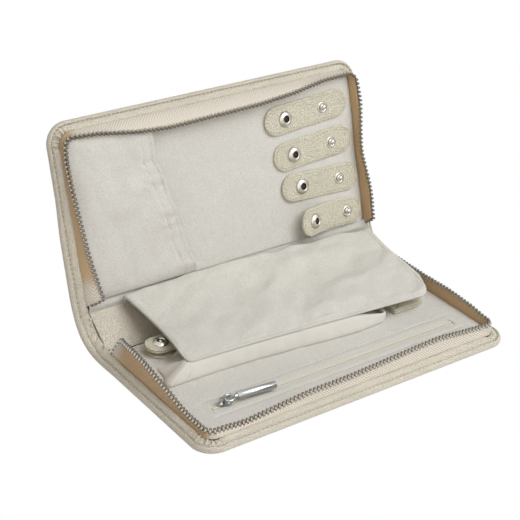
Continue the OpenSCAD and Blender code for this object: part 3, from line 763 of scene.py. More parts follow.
# ---------------------------------------------------------------- rows of small pieces
def row_tree():
    """Geometry Nodes: one small piece on every place, turned to the place's way and up."""
    tree = bpy.data.node_groups.new("row_of_pieces", "GeometryNodeTree")
    for name, kind in (("Places", "Geometry"), ("Piece", "Object"), ("Finish", "Material"),
                       ("Unevenness", "Float"), ("Seed", "Int")):
        tree.interface.new_socket(name=name, in_out="INPUT", socket_type="NodeSocket" + kind)
    tree.interface.new_socket(name="Row", in_out="OUTPUT", socket_type="NodeSocketGeometry")

    def node(kind, **settings):
        made = tree.nodes.new(kind)
        for key, value in settings.items():
            setattr(made, key, value)
        return made

    link = tree.links.new
    given = node("NodeGroupInput").outputs
    item = node("GeometryNodeObjectInfo")
    link(given["Piece"], item.inputs["Object"])
    turn = None
    for axis, pivot, name in (("Z", "AUTO", "up"), ("X", "Z", "way")):
        field = node("GeometryNodeInputNamedAttribute", data_type="FLOAT_VECTOR")
        field.inputs["Name"].default_value = name
        align = node("FunctionNodeAlignRotationToVector", axis=axis, pivot_axis=pivot)
        link(field.outputs["Attribute"], align.inputs["Vector"])
        if turn:
            link(turn, align.inputs["Rotation"])
        turn = align.outputs["Rotation"]
    low = node("ShaderNodeMath", operation="SUBTRACT")
    low.inputs[0].default_value = 1.0
    link(given["Unevenness"], low.inputs[1])
    high = node("ShaderNodeMath", operation="ADD")
    high.inputs[0].default_value = 1.0
    link(given["Unevenness"], high.inputs[1])
    size = node("FunctionNodeRandomValue", data_type="FLOAT")
    floats = [s for s in size.inputs if s.type == "VALUE"]
    link(low.outputs[0], floats[0])
    link(high.outputs[0], floats[1])
    link(given["Seed"], size.inputs["Seed"])
    put = node("GeometryNodeInstanceOnPoints")
    link(given["Places"], put.inputs["Points"])
    link(item.outputs["Geometry"], put.inputs["Instance"])
    link(turn, put.inputs["Rotation"])
    link([s for s in size.outputs if s.type == "VALUE"][0], put.inputs["Scale"])
    real = node("GeometryNodeRealizeInstances")
    link(put.outputs[0], real.inputs[0])
    paint = node("GeometryNodeSetMaterial")
    link(real.outputs[0], paint.inputs["Geometry"])
    link(given["Finish"], paint.inputs["Material"])
    out = node("NodeGroupOutput")
    link(paint.outputs[0], out.inputs[0])
    return tree


ROW = row_tree()


def row_of(name, item, material, spots, ways, ups, uneven=0.06, seed=3):
    """One mesh of many small pieces, set out at spots."""
    obj = mesh(name, spots, [])
    for key, vectors in (("way", ways), ("up", ups)):
        field = obj.data.attributes.new(key, "FLOAT_VECTOR", "POINT")
        field.data.foreach_set("vector", np.asarray(vectors, float).ravel())
    made = obj.modifiers.new("row", "NODES")
    made.node_group = ROW
    ids = {s.name: s.identifier for s in ROW.interface.items_tree if s.in_out == "INPUT"}
    for key, value in (("Piece", item), ("Finish", material), ("Unevenness", uneven),
                       ("Seed", seed)):
        made[ids[key]] = value
    return bake(obj)


def along(points, pitch):
    """Evenly spaced places and directions along a line of points."""
    points = np.asarray(points, float)
    reach = reach_of(points)
    count = max(1, int(reach[-1] / pitch))
    t = (np.arange(count) + 0.5) * reach[-1] / count
    ways = at_reach(t + 0.4, reach, points) - at_reach(t - 0.4, reach, points)
    return at_reach(t, reach, points), ways / np.linalg.norm(ways, axis=1)[:, None]


def stitch_item(length, width):
    """One stitch: a thread that dives at both ends."""
    x = np.array([-0.5, -0.38, -0.15, 0.15, 0.38, 0.5]) * length
    z = np.array([-0.5, 0.05, 0.3, 0.3, 0.05, -0.5]) * width
    a = np.linspace(0, 2 * math.pi, 6, endpoint=False)
    r = np.array([0.5, 0.9, 1, 1, 0.9, 0.5]) * width / 2
    ring = np.stack([x[:, None] + 0 * a, np.cos(a) * r[:, None],
                     z[:, None] + np.sin(a) * r[:, None] * 0.8], -1)
    return tube_mesh("stitch_item", ring)


def stitches(name, line, up, body, pitch=3.2, length=2.5, width=0.55):
    """A row of sewn stitches along a line. up is one direction, or one per point of the line."""
    spots, ways = along(line, pitch)
    up = np.asarray(up, float)
    if up.ndim == 2:
        up = at_reach(np.linspace(0, 1, len(spots)), np.linspace(0, 1, len(up)), up)
    else:
        up = np.tile(up, (len(spots), 1))
    item = stitch_item(length, width)
    row = row_of(name, item, THREAD, spots, ways, up)
    bpy.data.objects.remove(item)
    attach(row, body)


# ---------------------------------------------------------------- zip teeth
TEETH = 155
# a tooth's head carries a painted dark reflection: how dark it is, and the height it starts at
PAINTED_DARK, PAINTED_DARK_FROM = 0.8, 2.0      # how dark a tooth's head is, and the height it starts at
TOOTH_RINGS = [(-0.5, 1.7, 2.4), (1.1, 1.8, 2.5), (1.6, 1.8, 2.2), (2.1, 1.7, 2.0),
               (2.5, 1.7, 2.0), (2.75, 1.4, 1.5), (2.85, 0.8, 0.8)]


def tooth_item():
    """One tooth: legs that clamp the tape's edge, a neck and a rounded head."""
    a = np.linspace(0, 2 * math.pi, 8, endpoint=False) + math.pi / 8
    rings = []
    for z, wide, thick in TOOTH_RINGS:
        rings.append(np.stack([wide * 0.541 * np.cos(a), thick * 0.541 * np.sin(a),
                               np.full(8, z)], -1))
    item = tube_mesh("tooth_item", rings)
    # mark the head for its painted dark reflection
    painted_dark_mask = item.data.attributes.new("painted_dark", "FLOAT", "POINT")
    for v, mark in zip(item.data.vertices, painted_dark_mask.data):
        mark.value = PAINTED_DARK if v.co.z / MM > PAINTED_DARK_FROM else 0.0
    return item


def teeth(half):
    s = zip_steps(0.2, 0.8)
    d, h = chain(half, s)
    line = on_half(half, *chain_place(half, s, d), h)
    up = on_half(half, *chain_place(half, s, d + 0.35), h + 1) - line
    reach = reach_of(line)
    spots, ways = along(line, reach[-1] / TEETH * 0.9999)
    at = (np.arange(len(spots)) + 0.5) * reach[-1] / len(spots)
    ups = at_reach(at, reach, up)
    item = tooth_item()
    row = row_of(f"{half}_zip_teeth", item, NICKEL, spots, ways, ups, 0.02, 5)
    bpy.data.objects.remove(item)
    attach(row, half)
    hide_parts(f"{half}_teeth")


# ---------------------------------------------------------------- stitched edges of the shell
def edge_stitches(half):
    s = np.linspace(-8, WAY_L + 8, 600)
    X, V = way_point(s, np.full_like(s, 2.4))
    line = on_half(half, X, V, np.full_like(s, 4.6))
    inner = on_half(half, X, V, np.full_like(s, 5.6))
    stitches(f"{half}_edge_stitches", line, inner - line, half, 3.2, 2.2, 0.6)


# ---------------------------------------------------------------- lining panels
def soft_ripple(x, y, seed, amount):
    """Gentle hollows of a cloth laid over foam."""
    rng = np.random.default_rng(seed)
    total = np.zeros(np.broadcast(x, y).shape)
    for _ in range(26):
        a = rng.uniform(0, math.pi)
        k = 2 * math.pi / rng.uniform(16, 70)
        total = total + np.sin(k * (x * math.cos(a) + y * math.sin(a)) +
                               rng.uniform(0, 6.28)) * rng.uniform(0.2, 1)
    return total / 5.2 * amount


def rounded_panel(x0, x1, y0, y1, radius, step):
    """Grid of flat places over a panel, its two far corners drawn in to the radius."""
    close = radius * np.array([0.07, 0.2, 0.4, 0.7, 1])
    ys = np.unique(np.round(np.concatenate(
        [np.arange(y0, y1, step), [y1], y0 + close, y1 - close]), 3))
    ys = ys[(ys >= y0) & (ys <= y1)]
    ys = ys[np.concatenate([[True], np.diff(ys) > 0.15])]
    c = np.clip(radius - (y1 - ys), 0, radius)
    inset = radius - np.sqrt(np.maximum(radius ** 2 - c ** 2, 0))
    f = np.linspace(0, 1, int((x1 - x0) / step) + 1)
    X = (x0 + inset)[:, None] * (1 - f) + (x1 - inset)[:, None] * f
    return X, np.repeat(ys[:, None], len(f), 1)


LIN_IN = 10.3
LIN_X = HALF_W - LIN_IN
SLOT_V0, SLOT_V1, SLOT_X = 85.5, 92.5, 98.5


def lining_height(half, x, v):
    """Height of the lining face: foam under suede, drawn down to its seam at the edge."""
    edge = np.minimum(np.minimum(LIN_X - np.abs(x), CASE_D - LIN_IN - v), 12)
    rise = FLOOR_H - 0.9 * np.exp(-np.maximum(edge, 0) / 2.2)
    h = rise + soft_ripple(x, v, 4 if half == BASE else 9, 0.11 if half == BASE else 0.2)
    if half == BASE:
        slot = np.maximum(np.abs(x) - SLOT_X, np.maximum(SLOT_V0 - v, v - SLOT_V1))
        h = h + 0.28 * bump_window(slot, 0.2, 3.2, 1.2) - 0.3 * bump_window(slot, 4.6, 5.1, 0.9)
    return h


def base_lining_panel():
    xs = np.unique(np.round(np.concatenate([
        np.linspace(-LIN_X, -SLOT_X, 9), np.linspace(-SLOT_X, SLOT_X, 81),
        np.linspace(SLOT_X, LIN_X, 9)]), 3))
    vs = np.unique(np.round(np.concatenate([
        np.linspace(6, SLOT_V0 - 7, 26), np.linspace(SLOT_V0 - 7, SLOT_V0, 13),
        np.linspace(SLOT_V0, SLOT_V1, 3), np.linspace(SLOT_V1, SLOT_V1 + 7, 13),
        np.linspace(SLOT_V1 + 7, CASE_D - LIN_IN, 6)]), 3))
    X, V = np.meshgrid(xs, vs)
    drawn = np.clip(V - (CASE_D - LIN_IN - 5), 0, 5)
    X = X * (1 - (5 - np.sqrt(np.maximum(25 - drawn ** 2, 0))) / LIN_X *
             (np.abs(X) / LIN_X) ** 6)
    H = lining_height(BASE, X, V)
    P = on_half(BASE, X, V, H)
    n, k = X.shape
    col = [(abs(xs[j] + xs[j + 1]) / 2 < SLOT_X) for j in range(k - 1)]
    row = [SLOT_V0 < (vs[i] + vs[i + 1]) / 2 < SLOT_V1 for i in range(n - 1)]
    obj = mesh("base_suede_lining", P.reshape(-1, 3),
               grid_faces(n, k, skip=lambda i, j: row[i] and col[j]),
               np.stack([X, V], -1).reshape(-1, 2))
    with edit(obj.data) as bm:
        bmesh.ops.delete(bm, geom=[v for v in bm.verts if not v.link_faces], context="VERTS")
        bmesh.ops.recalc_face_normals(bm, faces=bm.faces)
        if sum(f.normal.z for f in bm.faces) < 0:
            bmesh.ops.reverse_faces(bm, faces=bm.faces)
    modify(obj, "SOLIDIFY", thickness=0.0011, offset=-1)
    dress(obj, SUEDE, BASE, ("base_lining",))
    (CASE_D - LIN_IN - 6) * MM
    0.9 * 2 * LIN_X * (CASE_D - LIN_IN - 6) * MM * MM
    out = 5.0
    for v, tag in ((SLOT_V0 - out, "back"), (SLOT_V1 + out, "front")):
        x = np.linspace(-SLOT_X - 2, SLOT_X + 2, 200)
        line = on_half(BASE, x, np.full_like(x, v), lining_height(BASE, x, v) + 0.02)
        stitches(f"slot_stitches_{tag}", line, (0, 0, 1), BASE, 2.6, 1.7, 0.3)


def lid_lining_panel():
    foot = 1.9
    X, V = rounded_panel(-LIN_X, LIN_X, foot, CASE_D - LIN_IN, 5, 2.5)
    P = on_half(LID, X, V, lining_height(LID, X, V) -
                2.5 * np.exp(-np.maximum(LIN_X - np.abs(X), 0) / 3) * np.exp(-(V - foot) / 3))
    obj = pad_mesh("lid_suede_lining", P, grid_normals(P), np.full(X.shape, 0.9),
                   np.stack([X, V], -1))
    dress(obj, SUEDE, LID, ("lid_lining",))
    (CASE_D - LIN_IN - foot) * MM


# ---------------------------------------------------------------- flap
FLAP_AXIS = 50.0
# where the flap's left edge, two inner lines and right edge run, from front to back
FLAP_LINES = [
    [(-93.0, 5.5, 22.3), (-91.6, 17, 23.2), (-89.6, 33, 24.2), (-88.0, 50, 24.8),
     (-89.6, 67, 27.6), (-92.0, 80.5, 31.0), (-92.4, 84.0, 30.4), (-92.2, 85.6, 28.0)],
    [(-36.0, 1.8, 22.4), (-35.0, 14, 24.8), (-34.0, 31, 25.4), (-33.0, 50, 25.6),
     (-32.0, 66, 28.2), (-32.0, 80.5, 31.4), (-32.0, 84.2, 31.0), (-32.0, 86.0, 28.6)],
    [(30.0, -3.8, 22.4), (32.0, 10, 24.9), (34.0, 30, 25.5), (35.0, 50, 25.8),
     (36.0, 64, 28.4), (36.0, 77.5, 31.4), (36.0, 81.5, 31.2), (36.0, 83.5, 28.8)],
    [(98.0, -9.4, 22.4), (100.6, -2, 23.4), (103.0, 10.5, 24.8), (104.4, 25, 25.8),
     (105.2, 38.6, 26.8), (106.0, 50, 27.8), (106.8, 60, 29.6), (107.4, 69, 31.0),
     (107.6, 73.4, 31.0), (107.8, 76.6, 29.0)],
]


def smooth_line(points, n):
    """A rounded line through points; n is how many even steps, or the shares of its length."""
    p = np.array(points, float)
    ext = np.concatenate([[2 * p[0] - p[1]], p, [2 * p[-1] - p[-2]]])
    out = []
    for i in range(len(p) - 1):
        a, b, c, d = ext[i:i + 4]
        t = np.linspace(0, 1, 24, endpoint=False)[:, None]
        out.append(0.5 * ((2 * b) + (c - a) * t + (2 * a - 5 * b + 4 * c - d) * t * t +
                          (3 * b - a - 3 * c + d) * t ** 3))
    out = np.concatenate(out + [p[-1:]])
    reach = reach_of(out)
    t = np.linspace(0, 1, n) if np.isscalar(n) else np.asarray(n)
    return at_reach(t * reach[-1], reach, out)


def edged_steps(length, fine_end, fine=0.42, step=1.35, border=6.5):
    """Shares of a length, closely spaced at its start and, if wanted, at its end."""
    high = length - (border if fine_end else step)
    parts = [np.arange(0, border, fine), np.arange(border, high, step),
             np.arange(high, length, fine) if fine_end else [high], [length]]
    return np.unique(np.round(np.concatenate(parts), 4)) / length


def fill_holes(obj):
    with edit(obj.data) as bm:
        rim = [e for e in bm.edges if e.is_boundary]
        for edge in rim:
            edge.smooth = False
        bmesh.ops.holes_fill(bm, edges=rim, sides=0)
        bmesh.ops.recalc_face_normals(bm, faces=bm.faces)
    return obj


def puff(obj, pinned, pressure, most):
    """Lets the pad's cloth settle under its filling; pinned names the seam's points."""
    group = obj.vertex_groups.new(name="seam")
    group.add(pinned, 1.0, "REPLACE")
    before = np.empty(len(obj.data.vertices) * 3)
    obj.data.vertices.foreach_get("co", before)
    made = obj.modifiers.new("cloth", "CLOTH")
    cloth = made.settings
    cloth.quality = 6
    cloth.mass = 0.15
    cloth.vertex_group_mass = "seam"
    cloth.tension_stiffness = cloth.compression_stiffness = 12
    cloth.shear_stiffness = 6
    cloth.bending_stiffness = 0.4
    cloth.effector_weights.gravity = 0
    cloth.use_pressure = True
    cloth.uniform_pressure_force = pressure
    made.collision_settings.use_collision = False
    made.point_cache.frame_start, made.point_cache.frame_end = 1, 20
    for f in range(1, 21):
        bpy.context.scene.frame_set(f)
    data = bpy.data.meshes.new_from_object(
        obj.evaluated_get(bpy.context.evaluated_depsgraph_get()))
    after = np.empty(len(before))
    data.vertices.foreach_get("co", after)
    bpy.context.scene.frame_set(1)
    obj.modifiers.clear()
    move = (after - before).reshape(-1, 3)
    far = np.linalg.norm(move, axis=1)[:, None]
    move *= np.minimum(1, most * MM / np.maximum(far, 1e-9))
    obj.data.vertices.foreach_set("co", (before.reshape(-1, 3) + move).ravel())
    obj.data.update()
    bpy.data.meshes.remove(data)


FLAP_W, FLAP_REACH = 190.0, 96.0


def flap_surface():
    """The flap's upper face as a grid, with the shares of its width and reach."""
    down, t = edged_steps(FLAP_REACH, False), edged_steps(FLAP_W, True)
    rows, cols = len(down), len(t)
    lines = np.array([smooth_line(line, down) for line in FLAP_LINES])
    grid = np.array([smooth_line(lines[:, i], t) for i in range(rows)])
    # round the two front corners
    for j in range(cols):
        for side, radius in ((t[j], 4.0), (1 - t[j], 11.0)):
            reach = side * FLAP_W
            if reach < radius:
                c = radius - reach
                grid[:, j, 1] += (radius - math.sqrt(radius ** 2 - c * c)) * np.clip(
                    1 - down * FLAP_REACH / 24, 0, 1)
    return grid, down, t


def flap():
    top, down, share = flap_surface()
    rows = len(down)
    n = grid_normals(top)
    n *= np.sign(n[..., 2:3].mean())
    x, y = top[..., 0], top[..., 1]
    left = share[None] * FLAP_W
    right = FLAP_W - left
    front = down[:, None] * FLAP_REACH
    near = np.minimum(np.minimum(right, front), left + 2.5)
    seam = np.exp(-((near - 3.2) / 0.6) ** 2)
    pad = 1 - np.exp(-np.maximum(near, 0) / 1.1)
    slant = (x * 0.55 - y) / 7.5
    wave = np.sin(slant + 1.6 * np.sin(x / 31 + y / 40) + soft_ripple(x, y, 12, 1.2))
    wrinkle = (np.sign(wave) * np.abs(wave) ** 1.5 * 1.25 *
               (0.35 + 0.65 * bump_window(x, 10, 100, 34)))
    dent = soft_ripple(x, y, 21, 1.0)
    ring = -0.45 * np.exp(-(((x + 44) / 9) ** 2 + ((y - 31) / 7) ** 2 - 1) ** 2 / 0.22)
    lift = (wrinkle + dent + ring * 0.5) * bump_window(near, 5, 400, 5) - 0.6 * seam
    lift -= 0.55 * np.exp(-((near - 9) / 5) ** 2) * 0.5
    top = top + n * (lift * 0.9)[..., None]
    thick = 0.9 + 1.5 * np.broadcast_to(pad, x.shape)
    obj = pad_mesh("flap_pad", top, n, thick)
    i = np.indices(x.shape)[0]
    pins = ((right < 3.8) | (front < 3.8) | (left < 1.5) | (i > rows - 6)).ravel()
    tree = {tuple(np.round(c, 2)): k for k, c in enumerate(
        np.array([v.co[:] for v in obj.data.vertices]) / MM)}
    low = top - n * thick[..., None]
    pinned = [tree.get(tuple(np.round(p, 2))) for p in np.concatenate(
        [top.reshape(-1, 3)[pins], low.reshape(-1, 3)])]
    puff(obj, [p for p in pinned if p is not None], 2.5, 0.7)
    cut = FLAP_AXIS * MM
    made = {}
    for tag, keep_front in (("front", True), ("back", False)):
        piece = show(f"suede_flap_{tag}", obj.data.copy())
        with edit(piece.data) as bm:
            bmesh.ops.bisect_plane(bm, geom=bm.verts[:] + bm.edges[:] + bm.faces[:],
                                   plane_co=(0, cut, 0), plane_no=(0, 1, 0),
                                   clear_outer=keep_front, clear_inner=not keep_front)
        made[tag] = fill_holes(piece)
    bpy.data.objects.remove(obj)
    dress(made["front"], FLAP, "flap", ("flap",))
    back = dress(made["back"], FLAP, BASE, ("flap_root",))
    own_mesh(back)


# ---------------------------------------------------------------- pouch
POUCH_SEAM = [(-108.0, 8.5), (-107.6, 4.9), (-103.5, 4.0), (-85, 3.6), (-60, 2.9), (-43.7, 2.0),
              (-17.5, -0.6), (5, -3.4), (20.7, -4.9), (40, -5.7), (54, -4.9), (60.5, -1.6),
              (61.5, 5), (60.5, 18), (57, 25.0), (48, 28), (-20, 30.4), (-86, 31.5), (-98, 29),
              (-102.5, 24), (-104, 15)]
POUCH_ROUND = 386.0     # length of its seam
POUCH_FOOT = 9.05


def pouch():
    """A soft pouch, gathered into its seam on the lining and open at the top."""
    seam = smooth_line([(x, y, 0) for x, y in POUCH_SEAM + POUCH_SEAM[:1]], 421)[:-1, :2]
    n = len(seam)
    way = np.roll(seam, -1, 0) - np.roll(seam, 1, 0)
    way /= np.linalg.norm(way, axis=1)[:, None]
    out = np.stack([way[:, 1], -way[:, 0]], -1)
    s = np.arange(n) / n * POUCH_ROUND
    gather = (np.sin(s / 1.9 + 1.5 * np.sin(s / 13)) * 0.5 + np.sin(s / 4.7 + 2) * 0.8 +
              0.8 * np.sin(s / 11.3 + 1))
    profile = [(0.3, POUCH_FOOT, 0.2), (0.7, 9.3, 0.4), (1.2, 10.2, 0.7), (1.5, 11.8, 0.8),
               (1.5, 13.8, 0.7), (1.2, 16.0, 0.55), (0.8, 18.4, 0.4), (0.4, 20.2, 0.3),
               (-0.1, 20.9, 0.2), (-0.9, 21.2, 0.1), (-1.6, 20.8, 0.1), (-2.0, 19.4, 0.2),
               (-1.6, 15.0, 0.5), (-1.2, 12.0, 0.6), (-1.8, 10.6, 0.4), (-3.0, 10.2, 0.1)]
    low = bump_window(-seam[:, 0], 90, 200, 16)
    tall = 1 - low * (1 - np.clip((26 - seam[:, 1]) / 15, 0.04, 1))
    tall = tall * (1 - 0.45 * bump_window(seam[:, 0], 62, 200, 34))
    edge = np.array([line[0] for line in FLAP_LINES])
    lean = np.interp(seam[:, 0], edge[:, 0], edge[:, 1]) + 1.0 - seam[:, 1]
    lean *= np.clip(-out[:, 1], 0, 1) * bump_window(seam[:, 0], -108, 60, 6)
    rings = []
    for k, (d, z, amount) in enumerate(profile):
        if k > 9:
            z = z + (20.2 - z) * np.maximum(low, 0.35)
        move = d + amount * gather * 0.42
        p = seam + out * move[:, None]
        end = bump_window(-seam[:, 0], 100, 200, 8)
        p[:, 0] += end * np.maximum(0, z - 9.5) * 1.22 * tall
        p[:, 1] += lean * np.maximum(0, z - 9.5) / 11
        rings.append(np.column_stack([p, POUCH_FOOT + (z - POUCH_FOOT) * tall +
                                      amount * 0.25 * np.sin(s / 17 + 0.7)]))
    rings = np.array(rings)
    rings[..., 2] = np.minimum(rings[..., 2], 21.4)
    verts = rings.reshape(-1, 3)
    faces = grid_faces(len(profile), n, wrap=True)
    faces.append(tuple((len(profile) - 1) * n + j for j in range(n)))
    faces.append(tuple(range(n))[::-1])
    uv = np.stack([np.broadcast_to(s, (len(profile), n)),
                   np.broadcast_to(np.arange(len(profile))[:, None] * 2.0,
                                   (len(profile), n))], -1).reshape(-1, 2)
    obj = turn_out(mesh("soft_pouch", verts, faces, uv))
    dress(obj, POUCH, BASE, ("pouch",))


# ---------------------------------------------------------------- slip pocket in the lid
POCKET_FOOT, POCKET_TOP = 2.2, 108.5
SEAM_IN = 9.5      # the sewn line that gathers the pocket, from its mouth
MOUTH = [(-34.2, POCKET_FOOT), (-41.5, 30), (-46.8, 55), (-51.0, 70), (-54.0, 84),
         (-55.6, POCKET_TOP)]


def slip_pocket():
    rows, cols = 120, 96
    right = smooth_line([(x, v, 0) for x, v in MOUTH], rows)[:, :2]
    v = np.linspace(0, 1, rows)
    right[:, 0] += 0.45 * np.sin(v * 21 + 1) + 0.2 * np.sin(v * 47)
    f = np.linspace(0, 1, cols)
    left = np.full(rows, -LIN_X - 0.6)
    V = np.repeat((POCKET_FOOT + v * (POCKET_TOP - POCKET_FOOT))[:, None], cols, 1)
    top_round = np.clip(V - (POCKET_TOP - 5), 0, 5)
    left = left + (5.6 - np.sqrt(np.maximum(31 - top_round[:, 0] ** 2, 0)))
    X = left[:, None] * (1 - f) + right[:, :1] * f
    from_left = X - left[:, None]
    from_mouth = right[:, :1] - X
    ends = np.minimum(V - POCKET_FOOT, POCKET_TOP - V)
    rise = (1 - np.exp(-np.minimum(from_left, ends * 1.6 + 0.5) / 7.0)) * 4.6
    slant = (X * 0.55 - V) / 6.4
    pull = bump_window(from_mouth, 8, 34, 20)
    wrinkle = (np.sin(slant + 1.4 * np.sin(V / 17) + soft_ripple(X, V, 31, 1.0)) * 0.8 * pull +
               soft_ripple(X, V, 35, 0.9))
    gathers = np.sin(V / 1.55 + 1.3 * np.sin(V / 6.1) + 0.6) + 0.6 * np.sin(V / 3.7)
    tuck_seam = np.exp(-((from_mouth - SEAM_IN) / 0.8) ** 2)
    tucks = gathers * (0.22 * bump_window(from_mouth, 2.5, SEAM_IN, 5) + 0.2 * tuck_seam)
    H = (FLOOR_H + 0.6 + rise + wrinkle * np.clip(ends / 8, 0, 1) * np.clip(from_left / 8, 0, 1) +
         tucks - 0.4 * tuck_seam + 0.2 * bump_window(from_mouth, 0, 1.6, 1.2))
    H = np.maximum(H, FLOOR_H + 0.5)
    P = on_half(LID, X, V, H)
    obj = pad_mesh("slip_pocket", P, grid_normals(P),
                   0.8 + 0.4 * bump_window(from_mouth, 0, 1.6, 1.0), np.stack([X, V], -1))
    dress(obj, POCKET, LID, ("lid_pocket", "lid_pocket_hem"))
    line = np.stack([right[:, 0] - SEAM_IN, V[:, 0]], -1)
    h = np.array([np.interp(line[i, 0], X[i], H[i]) for i in range(rows)])
    pts = on_half(LID, line[:, 0], line[:, 1], h + 0.05)
    stitches("slip_pocket_stitches", pts, LID_UP, LID, 2.6, 1.7, 0.3)


# ---------------------------------------------------------------- snap tabs
TAB_T, TAB_W, TAB_RISE = 2.4, 20.0, 1.8
TAB_LIFT = {4: math.radians(17.0)}      # the last tab stands off the lid
SNAP_REACH = 16.75                      # a snap's distance from the fold
FIXED_LONG = [38.5, 35.5, 33.5, 30.0]
FREE_LONG = [34.0, 34.0, 34.0, 31.5]


def tab_frame(i):
    """The fold's place and the tab's own directions: along its fixed half, across, and up."""
    joint = HINGES[f"tab_fold_{i}"]
    spot = np.array(joint["pos_m"]) / MM
    across = np.array(joint["axis"], float)
    along_x = np.cross(across, LID_UP)
    return spot, along_x / np.linalg.norm(along_x), across, LID_UP


def tab_outline(length, width, n=12):
    """Half width and its place along a tab, from the fold to the round end."""
    straight = length - width / 2
    a = np.linspace(0, math.pi / 2, 16)
    x = np.concatenate([np.linspace(0, straight, n, endpoint=False),
                        straight + np.sin(a) * width / 2])
    w = np.concatenate([np.full(n, width / 2), np.cos(a) * width / 2])
    w[-1] = 0.25
    return x, w


def snap_tab(i):
    spot, fore, across, up = tab_frame(i)
    lift = TAB_LIFT.get(i, 0.0)
    fixed, free = FIXED_LONG[i - 1], FREE_LONG[i - 1]
    xf, wf = tab_outline(free, TAB_W)
    xs, ws = tab_outline(fixed, TAB_W)
    s = np.concatenate([-xf[::-1], xs[1:]])
    w = np.concatenate([wf[::-1], ws[1:]])
    cols = 13
    t = np.sin(np.linspace(-math.pi / 2, math.pi / 2, cols))
    along_s = np.repeat(s[:, None], cols, 1)
    wide = w[:, None] * t[None]
    # the strip's middle line: flat, then a curl towards the free end
    curl = 0.5 + 0.35 * (i % 2)
    bend = np.clip(-along_s / free, 0, 1)
    px = np.where(along_s < 0, along_s * np.cos(lift), along_s)
    pz = np.where(along_s < 0, -along_s * np.sin(lift) * np.clip(-along_s / 5, 0.55, 1), 0.0)
    pz = pz + curl * bend ** 2
    crease = -0.35 * np.exp(-(along_s / 1.3) ** 2)
    edge = np.minimum(w[:, None] - np.abs(wide), np.minimum(along_s + free, fixed - along_s))
    pillow = -0.45 * np.exp(-np.maximum(edge, 0) / 0.7)
    groove = -0.16 * np.exp(-((edge - 2.0) / 0.4) ** 2)
    z0 = -TAB_RISE + pz + crease
    top = (spot + px[..., None] * fore + wide[..., None] * across +
           (z0 + pillow + groove)[..., None] * up)
    flat_up = np.broadcast_to(up, top.shape)
    thick = TAB_T - 0.9 * np.exp(-np.maximum(edge, 0) / 0.7)
    obj = pad_mesh(f"snap_tab_{i}", top, flat_up, thick)
    obj.data.materials.append(TAB)
    start = spot + fore * 2.5 - up * 3
    end = spot - fore * 2.5 - up * 3
    tuple(start * MM)
    tuple(end * MM)
    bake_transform(obj)
    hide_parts(f"tab_fixed_{i}", f"tab_free_{i}")
    # stitches round each half
    for tag, body, lo, hi in (("free", f"tab_{i}", -free, -2.4), ("fixed", LID, 2.4, fixed)):
        idx = [k for k in range(len(s)) if lo <= s[k] <= hi]
        right_side = [(s[k], max(w[k] - 2.0, 0)) for k in idx]
        if tag == "free":
            right_side = right_side[::-1]
        right_side = [(max(min(a, fixed - 2.0), -free + 2.0), b) for a, b in right_side]
        loop = right_side + [(a, -b) for a, b in right_side[::-1]]
        pts = []
        for a, b in loop:
            z = np.interp(a, s, (z0 + groove)[:, cols // 2])
            xx = a * math.cos(lift) if a < 0 else a
            pts.append(spot + xx * fore + b * across + (z + 0.02) * up)
        tilt = up if tag == "fixed" else up * math.cos(lift) + fore * math.sin(lift)
        stitches(f"tab_{tag}_stitches_{i}", pts, tilt, body, 2.5, 1.6, 0.34)


SOCKET_PROFILE = [(2.35, 0.3), (2.3, 1.6), (2.45, 2.35), (2.8, 2.62), (3.3, 2.6), (3.75, 2.3),
                  (4.3, 2.0), (5.0, 1.55), (5.35, 1.0), (5.5, 0.4), (5.45, 0.0), (4.6, -0.1),
                  (2.4, -0.1)]
STUD_PROFILE = [(0, 3.42), (0.7, 3.35), (1.3, 3.05), (1.72, 2.5), (1.8, 1.95), (1.6, 1.35),
                (1.32, 1.0), (1.35, 0.75), (2.0, 0.62), (2.6, 0.55), (2.9, 0.72), (3.3, 0.82),
                (3.8, 0.7), (4.15, 0.4), (4.25, 0.1), (4.2, 0.0), (0, 0.0)]


def snap(i):
    spot, fore, _, up = tab_frame(i)
    lift = TAB_LIFT.get(i, 0.0)
    stud = lathe(f"snap_stud_{i}", STUD_PROFILE, spot + fore * SNAP_REACH - up * 1.86,
                        up, 28)
    dress(stud, SNAP, LID, (f"stud_{i}",))
    out = -fore * math.cos(lift) + up * math.sin(lift)
    tip = up * math.cos(lift) + fore * math.sin(lift)
    base = spot + out * SNAP_REACH - tip * 1.75
    ring = lathe(f"snap_socket_{i}", SOCKET_PROFILE, base, tip)
    # a near-black disc in the socket's bore: painted shade
    painted_shade_disc = lathe(f"snap_well_{i}", [(0, 1.3), (2.1, 1.25), (2.28, 0.4), (0, 0.3)],
                        base, tip, 24)
    dress(ring, SNAP, f"tab_{i}", (f"socket_{i}",))
    dress(painted_shade_disc, PAINTED_BORE_SHADE, f"tab_{i}")


# ---------------------------------------------------------------- spine band and welt
BAND_FROM, BAND_TO, BAND_IN = 3.2, 32.6, 6.4
BAND_SEAM = 29.0


